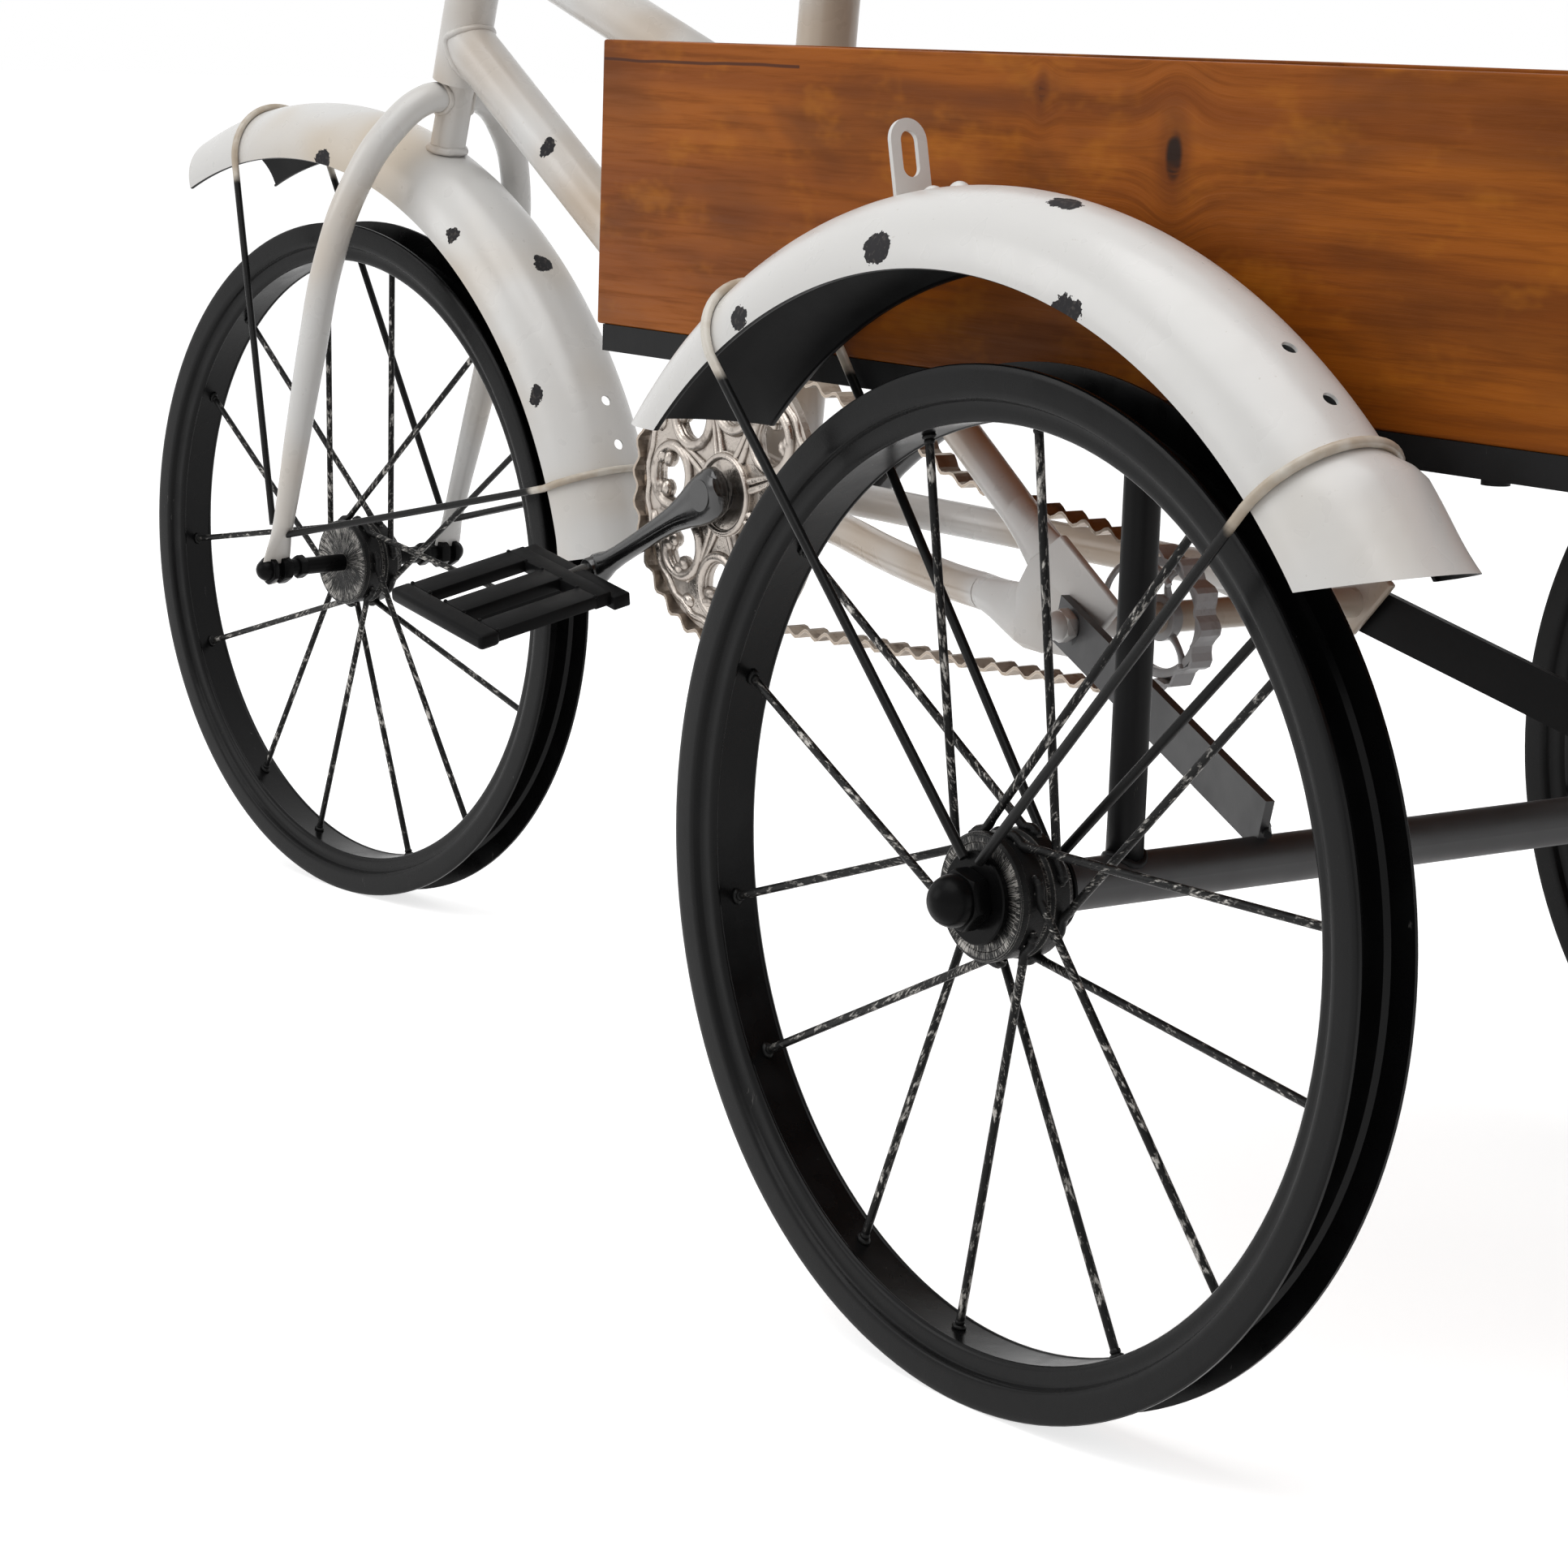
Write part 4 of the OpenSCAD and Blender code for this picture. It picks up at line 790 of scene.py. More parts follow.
class StandSizes(bpy.types.PropertyGroup):
    board_edge: bpy.props.FloatProperty(
        name="Board edge", description="Rounding of the boards' edges",
        default=0.0012, min=0.0, max=0.004, unit="LENGTH")
    guard_wall: bpy.props.FloatProperty(
        name="Mudguard wall", description="Thickness of the mudguards' sheet",
        default=0.0012, min=0.0005, max=0.002, unit="LENGTH")
    guard_hem: bpy.props.FloatProperty(
        name="Mudguard hem", description="Width of the hem along a mudguard's sides",
        default=0.0022, min=0.0005, max=0.004, unit="LENGTH")
    weld_bead: bpy.props.FloatProperty(
        name="Weld bead", description="Half width of the weld beads on the frame",
        default=0.0019, min=0.001, max=0.004, unit="LENGTH")


class StandLooks(bpy.types.PropertyGroup):
    paint_color: bpy.props.FloatVectorProperty(
        name="Frame paint", description="Colour of the frame and mudguards",
        default=(0.70, 0.69, 0.67), min=0.0, max=1.0, subtype="COLOR")
    floor_color: bpy.props.FloatVectorProperty(
        name="Floor", description="Colour of the studio floor",
        default=(0.86, 0.86, 0.86), min=0.0, max=1.0, subtype="COLOR")
    key_power: bpy.props.FloatProperty(
        name="Top light", description="Power of the soft light overhead",
        default=50.0, min=0.0, max=500.0, unit="POWER")
    fill_power: bpy.props.FloatProperty(
        name="Side light", description="Power of the soft light beside the camera",
        default=21.0, min=0.0, max=500.0, unit="POWER")
    sky_level: bpy.props.FloatProperty(
        name="Room light", description="Level of the light from all round",
        default=0.37, min=0.0, max=2.0)


class PieceOperator:
    """What the operators of this file share."""
    bl_options = {"REGISTER", "UNDO"}

    @property
    def sizes(self):
        return bpy.context.scene.stand_sizes

    @property
    def looks(self):
        return bpy.context.scene.stand_looks


# ---- Pieces ------------------------------------------------------------------------------

class STAND_OT_finishes(PieceOperator, bpy.types.Operator):
    """Make every finish and paint the CAD nodes that stay"""
    bl_idname = "stand.finishes"
    bl_label = "Finishes"

    def execute(self, context):
        make_finishes(tuple(self.looks.paint_color))
        for finish, nodes in NODE_FINISHES.items():
            for node in nodes.split():
                NODES[node].data.materials.clear()
                NODES[node].data.materials.append(FINISHES[finish])
        return {"FINISHED"}


class STAND_OT_box(PieceOperator, bpy.types.Operator):
    """Build the wooden box from five boards with broken edges"""
    bl_idname = "stand.box"
    bl_label = "Wooden box"

    def execute(self, context):
        for board, finish in (("side_left", "left_board"), ("side_right", "right_board"),
                              ("end_front", "end_board"), ("end_rear", "end_board"),
                              ("floor", "floor_board")):
            low, high = [[v / MM for v in corner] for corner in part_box("box_" + board)]
            plank = block(low, high, self.sizes.board_edge / MM, 3)
            dress(plank, "board_" + board, "root", finish + "_pine", "stained_pine", "box_" + board)
        return {"FINISHED"}


def guard_shell(finish, sizes, edge_r, half_w, start, end, flare, flare_from, flare_side):
    """A half-round mudguard about the origin, its arc in the x-z plane from start to end, black inside."""
    clear_selection()
    bpy.ops.mesh.primitive_circle_add(vertices=72, radius=half_w * MM, location=(edge_r * MM, 0, 0),
                                      fill_type="NOTHING")
    guard = settle(active())
    with Editing(guard):
        bpy.ops.mesh.bisect(plane_co=((edge_r - 0.01) * MM, 0, 0), plane_no=(1, 0, 0), clear_inner=True)
    # the hem turns in at both sides
    for side in (-1, 1):
        corner = Vector((edge_r, side * half_w, 0)) * MM
        tip = min(guard.data.vertices, key=lambda v: (v.co - corner).length).index
        for vertex in guard.data.vertices:
            vertex.select = vertex.index == tip
        with Editing(guard, everything=False):
            bpy.ops.mesh.select_mode(type="VERT")
            for inwards in (-0.5, 0.2):
                step = (inwards * MM, -side * sizes.guard_hem * 0.5, 0)
                bpy.ops.mesh.extrude_region_move(TRANSFORM_OT_translate={"value": step})
    with Editing(guard):
        bpy.ops.mesh.spin(steps=108, angle=math.radians(end - start), center=(0, 0, 0), axis=Y)
    recalculate(guard)
    crown = max(guard.data.polygons, key=lambda f: math.hypot(f.center.x, f.center.z))
    if crown.normal.dot(Vector((crown.center.x, 0, crown.center.z))) < 0:
        with Editing(guard):
            bpy.ops.mesh.flip_normals()
    # the rear end flares beyond the wire, most at the side away from the viewer
    for vertex in guard.data.vertices:
        angle = math.atan2(vertex.co.z, vertex.co.x)
        along = abs(math.degrees(angle))
        share = min(1.0, max(0.0, flare_from - along) / 3)
        share = share * share * (3 - 2 * share) + 0.45 * max(0.0, 1 - along / 5) ** 2
        from_middle = vertex.co - Vector((math.cos(angle), 0, math.sin(angle))) * edge_r * MM
        side = (1 + flare_side * from_middle.y / (half_w * MM)) / 2
        vertex.co += from_middle * flare * share * side
    for material in (finish, "satin_black_paint"):
        guard.data.materials.append(FINISHES[material])
    for face in guard.data.polygons:
        face.material_index = math.hypot(face.center.x, face.center.z) < (edge_r - 0.15) * MM
    modify(guard, "SOLIDIFY", thickness=sizes.guard_wall, offset=-1, material_offset=1, material_offset_rim=1)
    return settle(guard, rotation(-start))


def cut_level(guard, place, normal, ahead_only=False):
    """Cuts off what lies beyond a plane, of the whole mudguard or only of its half ahead of the axle."""
    if ahead_only:
        for vertex in guard.data.vertices:
            vertex.select = vertex.co.x < 0
        for item in (*guard.data.edges, *guard.data.polygons):
            item.select = all(guard.data.vertices[index].select for index in item.vertices)
    with Editing(guard, everything=not ahead_only):
        bpy.ops.mesh.bisect(plane_co=place, plane_no=normal, clear_outer=True, use_fill=False)
        bpy.ops.mesh.select_all(action="SELECT")
        bpy.ops.mesh.fill_holes(sides=0)


def drill_guard(guard, edge_r, half_w, *angles, diameter=6):
    """Drills a row of holes through a mudguard's crown."""
    for angle in angles:
        clear_selection()
        bpy.ops.mesh.primitive_cylinder_add(vertices=32, radius=diameter / 2 * MM, depth=24 * MM)
        out = polar(1 / MM, angle)
        drill = settle(active(), axis_matrix(out * (edge_r + half_w - 2) * MM, out))
        modify(guard, "BOOLEAN", object=drill, operation="DIFFERENCE", solver="EXACT")
        bpy.data.objects.remove(drill)


class STAND_OT_mudguards(PieceOperator, bpy.types.Operator):
    """Spin the three mudguards, fold their hems and drill their holes"""
    bl_idname = "stand.mudguards"
    bl_label = "Mudguards"

    def execute(self, context):
        edge_r, half_w = 248, 30.5
        left = guard_shell("left_guard_paint", self.sizes, edge_r, half_w, start=34.5, end=144,
                           flare=0.27, flare_from=12.2, flare_side=1)
        # the rear end is cut nearly level, through the end of the near edge, and the front end level
        cut_level(left, polar(edge_r, 38.5), -(rotation(-13.3) @ Z))
        cut_level(left, Z * 171.5 * MM, -Z, ahead_only=True)
        drill_guard(left, edge_r, half_w, 56.3, 50.9)
        smooth(settle(left, at(REAR_ARC - Y * 259.5 * MM)), 40)
        right = copy_of(left, MIRROR)
        right.data.materials[0] = FINISHES["right_guard_paint"]
        for side, guard in (("left", left), ("right", right)):
            dress(guard, "rear_guard_" + side, "root", None, "mudguard_paint", "mudguard_" + side)
        edge_r, half_w = 262, 31.5
        front = guard_shell("front_guard_paint", self.sizes, edge_r, half_w, start=12, end=114,
                            flare=0.04, flare_from=3, flare_side=0)
        drill_guard(front, edge_r, half_w, 28.8, 23.8)
        smooth(settle(front, STEERED @ at(FRONT_ARC)), 40)
        dress(front, "front_guard", "steering", None, "mudguard_paint", "front_mudguard")
        return {"FINISHED"}


class STAND_OT_fork(PieceOperator, bpy.types.Operator):
    """Bend the two fork blades and flatten their ends"""
    bl_idname = "stand.fork"
    bl_label = "Fork blades"

    def execute(self, context):
        slant, top = Vector((0.33686, 0, 1)), 275.07

        def on_blade(y, up):
            return FRONT_CENTRE + (slant * up - Y * y) * MM

        path = ((4, top, 8.5), (18, top - 0.5, 8.5), (40, top - 18, 8.6), (57, top - 50, 8.6),
                (65, top - 92, 8.6), (65, 132, 8.4), (63.6, 80, 7.4), (62.4, 45, 6.4), (62, 28, 6.0))
        tube = bent_tube([on_blade(y, up) for y, up, r in path], [r for y, up, r in path], ring=10, steps=14)
        tab = lofted([(40, 5.6, 5.6), (32, 6.2, 5.9), (26, 6.5, 5.0), (20, 7.2, 3.4), (14, 8.3, 2.4),
                      (8, 9.0, 2.05), (0, 9.2, 2.0), (-5, 7.8, 2.0), (-8, 5.0, 1.9), (-9, 2.0, 1.4)], 32, 50)
        left = settle(join(tube, settle(tab, axis_matrix(on_blade(62, 0), slant))), STEERED)
        right = copy_of(left, STEERED @ MIRROR @ STEERED.inverted())
        for side, blade in (("left", left), ("right", right)):
            dress(blade, "blade_" + side, "steering", "fork_paint", "frame_paint", "fork_blade_" + side)
        return {"FINISHED"}


class STAND_OT_bowed_stay(PieceOperator, bpy.types.Operator):
    """Bend the chainstay that bows under the chain"""
    bl_idname = "stand.bowed_stay"
    bl_label = "Bowed chainstay"

    def execute(self, context):
        path = [cart(-482, -14, 85), cart(-411, -24.5, 78.5), cart(-361, -36, 74), cart(-296, -52, 71),
                cart(-249, -65.3, 71.4)]
        dress(bent_tube(path, 8.5, ring=10, steps=14), "bowed_stay", "root", "frame_paint", "frame_paint",
              "chainstay_left")
        return {"FINISHED"}


class STAND_OT_dropouts(PieceOperator, bpy.types.Operator):
    """Press the stays' ends flat into the two dropout plates"""
    bl_idname = "stand.dropouts"
    bl_label = "Pressed dropouts"

    def execute(self, context):
        outline = [(-16, 37), (24, 10.5), (0, -15.5), (-26, -16), (-45, -14), (-45, 10), (-36, 24)]
        seat_end = [(-18, 10.5, 1.7, 5, -82), (-6, 13.2, 2.1, 4.5, -82), (6, 14.0, 3.0, 4.2, -81.2),
                    (18, 13.4, 4.4, 3.6, -79), (34, 10.9, 6.5, 2.6, -73.5), (48, 9.6, 7.9, 1.2, -67.6),
                    (62, 8.6, 8.5, 0, -63.0)]
        chain_end = [(-257, 8.5, 8.5, 63.2), (-248, 8.6, 8.3, 65.6), (-238, 9.6, 7.2, 69.2),
                     (-226, 11.4, 5.4, 73.6), (-214, 13.3, 3.7, 77.6), (-204, 14.4, 2.8, 80.6),
                     (-190, 14.6, 2.1, 82.0), (-180, 12, 1.7, 82.0)]
        # how high the chainstay's end runs at each of its stations
        rises = {"left": (71.5, 71.4, 70.6, 69.4, 68.4, 67.9, 67.8, 67.8),
                 "right": (76.6, 76.2, 74.5, 72.2, 70.0, 68.6, 67.9, 67.8)}
        stay = STAY_HIGH - STAY_LOW
        up_stay = Vector((stay.x, 0, stay.z)).normalized()
        seat_place = at(cart(-177, 0, 82)) @ facing(Y.cross(up_stay), Y, up_stay)
        chain_place = at(cart(0, 0, 0)) @ facing(Z, -Y, Y.cross(Z))
        for name, side in (("left", HERE), ("right", MIRROR)):
            clear_selection()
            bpy.ops.mesh.primitive_circle_add(vertices=len(outline), radius=MM, fill_type="NGON")
            plate = active()
            for vertex, (x, z) in zip(plate.data.vertices, outline):
                vertex.co = DROPOUT + Vector((x, -84, z)) * MM
            with Editing(plate):
                bpy.ops.mesh.extrude_region_move(TRANSFORM_OT_translate={"value": Y * 4 * MM})
            recalculate(plate)
            bevel(plate, 1.3, 3)
            seat = settle(lofted(seat_end, 48, 60), seat_place)
            chain = [(x, high, deep, rise, out) for (x, high, deep, out), rise in zip(chain_end, rises[name])]
            whole = smooth(join(plate, seat, settle(lofted(chain, 48, 60), chain_place)), 40)
            dress(*placed(whole, side), "pressed_dropout_" + name, "root", "frame_paint", "frame_paint",
                  "dropout_" + name)
        return {"FINISHED"}


class STAND_OT_handlebar(PieceOperator, bpy.types.Operator):
    """Bend the handlebar and turn its ribbed grips"""
    bl_idname = "stand.handlebar"
    bl_label = "Handlebar and grips"

    def execute(self, context):
        middle = cart(-756.41, 0, 487.83)
        bend, end = Vector((40, 193.5, 24)), Vector((148, 215, 14))
        back = (bend - end).normalized()
        half = [Vector((0, 30, 0)), Vector((12, 129, 20)), bend, end + back * 60, end + back * 25, end]
        path = [middle + p * MM for p in mirrored(reversed(half)) + half]
        dress(settle(bent_tube(path, 9, ring=10, steps=12), STEERED), "bent_handlebar", "steering",
              "dull_plated_steel", "plated_steel", "handlebar")
        ribs = [(4, -4), (10, -4), (13.2, -2.6), (14, 0), (14, 5)]
        for z in [6 + rib * 6.6 for rib in range(12)]:
            ribs += [(13.1, z), (13.1, z + 1.6), (13.8, z + 2.4), (13.8, z + 5.4)]
        ribs += [(13.2, 87), (14, 88), (14, 93), (13, 95.5), (9.3, 96)]
        places = [STEERED @ axis_matrix(middle + tip * MM, inwards)
                  for tip, inwards in (mirrored([end, back]), (end, back))]
        dress(join(*placed(turned(ribs, 48, 40), *places)), "ribbed_grips", "steering", "grip_rubber",
              "grip_rubber", "grips")
        return {"FINISHED"}


class STAND_OT_saddle(PieceOperator, bpy.types.Operator):
    """Loft the saddle and cut its underside flat"""
    bl_idname = "stand.saddle"
    bl_label = "Saddle"

    def execute(self, context):
        # from the back to the nose: place along, half width, half height, rise of the middle
        stations = [(-74.5, 16, 5, 11), (-73, 32, 9, 10.5), (-68, 48, 12.5, 10), (-58, 60, 14.5, 9),
                    (-42, 69, 15.5, 8.2), (-20, 73.5, 15.6, 7.8), (5, 74, 15.2, 7.6), (28, 68, 14.6, 7.4),
                    (50, 56, 14.2, 7.2), (75, 41, 13.8, 7.2), (100, 30, 13.4, 7.2), (125, 24, 12.6, 7.4),
                    (143, 21, 11.4, 7.8), (153, 16, 9.4, 8.2), (158, 9, 6.5, 8.6), (159.5, 3, 3, 9)]
        rings = [(run, wide, high, 0, rise) for run, wide, high, rise in stations]
        seat = close_ends(lofted(rings, 48, 60, capped=False))
        base = cart(-460.63, 0, 423.72)
        settle(seat, at(base) @ facing(-Y, Z, Z.cross(Y)))
        with Editing(seat):
            bpy.ops.mesh.bisect(plane_co=base, plane_no=Z, clear_inner=True, use_fill=True)
        recalculate(seat)
        bevel(seat, 1.2, 3, 50)
        dress(smooth(seat, 50), "domed_saddle", "root", "saddle_leather", "saddle_black", "saddle")
        return {"FINISHED"}


# Half of the rim's section, from the valley inside to the flange's outer edge and down to its side
RIM_SECTION = [
    (180.6, 7.2), (182.4, 8.4), (184.6, 9.0), (187.4, 10.2), (189, 12.2), (197, 12.4), (200, 12.7),
    (200, 14.0), (199.5, 14.6), (198.6, 14.9), (197, 15.0), (190, 15.0), (188.2, 14.9), (187.2, 14.4),
    (186.6, 13.6), (186.4, 12.8), (185.9, 12.0), (184.6, 11.5), (182.8, 11.35), (181.2, 11.3),
    (180.1, 11.15), (179.2, 10.8), (178.5, 10.2), (178.1, 9.5), (178.1, 8.9), (178.5, 8.2)]


class STAND_OT_rims(PieceOperator, bpy.types.Operator):
    """Turn the wheels' rims with their two rolled ridges, and weld their seams"""
    bl_idname = "stand.rims"
    bl_label = "Rims"

    def execute(self, context):
        section = RIM_SECTION + [(r, -y) for r, y in reversed(RIM_SECTION)]
        rim = settle(turned(section, 160, 24, closed=True), OUTWARDS)
        line = [Vector((178.4, y, 0.3 * math.sin(y))) * MM for y in range(-8, 9, 2)]
        seam = settle(bead(line, 0.8, closed=False), rotation(38))
        places = [matrix @ rotation(REAR_SPOKE - first) for name, matrix, first in WHEELS]
        for (name, *rest), piece in zip(WHEELS, placed(join(rim, seam), *places)):
            dress(piece, name + "_pressed_rim", name + "_wheel", "rim_black_paint", "rim_paint",
                  name + "_rim")
        return {"FINISHED"}


class STAND_OT_spoke_ends(PieceOperator, bpy.types.Operator):
    """Weld the spokes' ends to the rims, and hook them on the hubs"""
    bl_idname = "stand.spoke_ends"
    bl_label = "Spoke ends"

    def execute(self, context):
        for name, matrix, first in WHEELS:
            lumps = []
            pairs = [first + pair * 360 / 7 for pair in range(7)]
            for rim_angle, hub_angle, y, lean in [spoke for angle in pairs for spoke in (
                    (angle, angle + 57, -6.7, 1), (angle - 21, angle - 78, 5.3, -1))]:
                rim_end, hub_end = polar(179, rim_angle), polar(24, hub_angle, y)
                outwards, along = rim_end.normalized(), (rim_end - hub_end).normalized()
                turn = facing(outwards.cross(Y), Y, outwards)
                lumps.append(blob((outwards * 178.3 - along * 0.6) * MM, (3.6, 2.6, 1.5), turn))
                lumps.append(blob((outwards * 178.0 - along * 2.2) * MM, (2.3, 2.1, 2.0), turn))
                hook = [hub_end + along * 9 * MM, hub_end + along * 3.4 * MM]
                hook += [polar(radius, hub_angle + past * lean, y)
                         for past, radius in ((4, 26.2), (10, 25.6), (15, 24.2))]
                lumps.append(bent_tube(hook, (1.8, 1.9, 1.9, 1.8, 1.4), ring=2, steps=3))
                lumps.append(blob(hook[3], (2.4, 2.2, 1.8)))
            welds = join(*lumps)
            roughen(welds, 3 * MM, 0.7 * MM)
            dress(turn_outwards(settle(welds, matrix)), name + "_spoke_ends", name + "_wheel",
                  name + "_rubbed_black", "worn_black")
        return {"FINISHED"}


class STAND_OT_hubs(PieceOperator, bpy.types.Operator):
    """Turn the stepped hubs"""
    bl_idname = "stand.hubs"
    bl_label = "Hubs"

    def execute(self, context):
        for name, matrix, first in WHEELS:
            bore = 5.05 if name == "front" else 6.05
            section = [(bore, 14.1), (20.6, 14.1), (21.2, 14.6), (22.2, 14.7), (24.2, 14.7), (24.8, 14.2),
                       (25, 13.4), (25, 11.4), (24.7, 11.0), (24.4, 10.6), (24.4, 2.2), (24.0, 1.8),
                       (23.4, 1.4), (23.4, -0.2), (24.0, -0.6), (24.4, -1.0), (25, -1.4), (25, -8.6),
                       (24.6, -9.2), (23.8, -9.3), (17.8, -9.3), (17.2, -9.8), (17, -10.4), (17, -16.6),
                       (16.6, -17.4), (16, -17.8), (bore, -17.8)]
            hub, = placed(turned(section, 72, closed=True), matrix @ OUTWARDS)
            dress(hub, name + "_stepped_hub", name + "_wheel", name + "_rubbed_black", "worn_black",
                  name + "_hub")
        return {"FINISHED"}


class STAND_OT_nuts(PieceOperator, bpy.types.Operator):
    """Turn the washers and domed nuts of the three axles and the dropouts"""
    bl_idname = "stand.nuts"
    bl_label = "Washers and nuts"

    def execute(self, context):
        def lifted(shift):
            return at(Z * shift * MM)

        nut = settle(chamfered_nut(24.4, 8, 20.6, 1.4), lifted(18) @ rotation(14, "Z"))
        washer = turned([(6.05, 15.0), (17.4, 15.0), (18, 15.5), (18, 17.5), (17.4, 18.0), (6.05, 18.0)],
                        closed=True)
        thin = turned([(6.05, -19.6), (16.7, -19.6), (17, -19.3), (17, -18.4), (16.7, -18.1), (6.05, -18.1)],
                      closed=True)
        stacks = placed(join(nut, washer, thin), *[matrix @ OUTWARDS for name, matrix, first in WHEELS[:2]])
        dress(join(*stacks), "rear_axle_nuts", "root", "nut_black_paint", "black_paint", "axle_nuts")

        parts = [settle(turned([(3, -66), (5, -66), (5, 66), (3, 66)], 32), OUTWARDS)]
        for piece, shift in ((chamfered_nut(18, 3.4, 13), 64), (chamfered_nut(18, 6), 54),
                             (chamfered_nut(14, 5), 42)):
            parts += placed(piece, *[side @ OUTWARDS @ lifted(shift) for side in (HERE, MIRROR)])
        dress(settle(join(*parts), FRONT_WHEEL), "front_axle_set", "steering", "nut_black_paint",
              "black_paint", "front_axle")

        bolt = join(settle(chamfered_nut(15, 6, 13), lifted(90.6)),
                    turned([(3, 64), (4, 64), (4, 91), (3, 91)], 24))
        bolts = placed(bolt, *[side @ at(DROPOUT) @ OUTWARDS for side in (HERE, MIRROR)])
        dress(join(*bolts), "domed_bolts", "root", "frame_paint", "frame_paint", "dropout_bolts")
        return {"FINISHED"}


class STAND_OT_uprights(PieceOperator, bpy.types.Operator):
    """Draw the two uprights between the axle tube and the box frame"""
    bl_idname = "stand.uprights"
    bl_label = "Uprights"

    def execute(self, context):
        for name, y in (("left", -POST_Y), ("right", POST_Y)):
            post = lofted([(8, 7.5, 7.5), (24, 7.35, 7.35), (92, 7.3, 7.4), (160, 7.35, 7.35),
                           (177.5, 7.4, 7.4)], 48, 40)
            settle(post, at(cart(0, y, 0)))
            dress(post, "post_" + name, "root", "satin_black_paint", "black_paint", "upright_" + name)
        return {"FINISHED"}


class STAND_OT_sprocket(PieceOperator, bpy.types.Operator):
    """Build the open rear sprocket: a rim and a collar on three bent wires, with a half ring beside them"""
    bl_idname = "stand.sprocket"
    bl_label = "Rear sprocket"

    def execute(self, context):
        rim = turned([(22.6, -1.6), (23.2, -2.0), (26.4, -2.0), (26.8, -1.6), (26.8, 1.6), (26.4, 2.0),
                      (23.2, 2.0), (22.6, 1.6)], 72, 40, closed=True)
        collar = turned([(7.0, -3.0), (9.8, -3.0), (10.4, -2.4), (10.4, 2.4), (9.8, 3.0), (7.0, 3.0)], 48, 40,
                        closed=True)
        parts = [settle(rim, OUTWARDS), settle(collar, OUTWARDS)]
        for angle in (70, 190, 310):
            wire = [polar(9.5, angle), polar(15, angle + 7, -1.2), polar(20, angle + 4, -1.2),
                    polar(25, angle - 3)]
            parts.append(bent_tube(wire, (2.0, 1.5, 1.5, 2.2), ring=3, steps=5))
            parts.append(blob(wire[-1], (2.9, 3.2, 2.6)))
        half_ring = [polar(24, angle, -14) + Z * 2 * MM for angle in range(40, 201, 20)]
        tail = [half_ring[-1], half_ring[-1] * 0.97 + Y * 6 * MM, Vector((-23.5, 0, 0)) * MM]
        parts += [bent_tube(wire, 1.5, ring=3, steps=5) for wire in (half_ring, tail)]
        dress(settle(join(*parts), at(DROPOUT + CHAIN_SIDE)), "open_sprocket", "root",
              "sprocket_grey_paint", "antique_silver", "rear_sprocket")
        return {"FINISHED"}


class STAND_OT_cranks(PieceOperator, bpy.types.Operator):
    """Loft the crank arms, wide at the axle and slim in the middle"""
    bl_idname = "stand.cranks"
    bl_label = "Crank arms"

    def execute(self, context):
        # from behind the axle to the pedal: place along, half width, half depth, place sideways
        stations = [(-13.2, 4, 3.5, 49), (-12.4, 8, 5.6, 49), (-9, 12, 6.4, 49), (-4, 13.4, 6.5, 49),
                    (3, 13.5, 6.5, 49), (11, 12.4, 6.5, 49), (20, 9.8, 6.2, 49.1), (31, 7.4, 5.7, 49.4),
                    (46, 6.1, 5.4, 49.8), (66, 5.5, 5.3, 50.3), (84, 5.4, 5.3, 50.7), (95, 6.0, 5.4, 51),
                    (101, 7.6, 5.5, 51), (107, 8.8, 5.5, 51), (112, 8.2, 5.4, 51), (115.5, 6, 5.0, 51),
                    (117, 3, 3.4, 51)]
        for name, side in (("left", -1), ("right", 1)):
            arm = lofted([(run, wide, deep, 0, side * out) for run, wide, deep, out in stations], 32, 45)
            outwards = polar(1, CRANK_ANGLES[name]).normalized()
            settle(arm, at(CRANK) @ facing(Y.cross(outwards), Y, outwards))
            dress(arm, name + "_crank", "root", "crank_gloss_black", "pedal_black", "crank_arm_" + name)
        return {"FINISHED"}


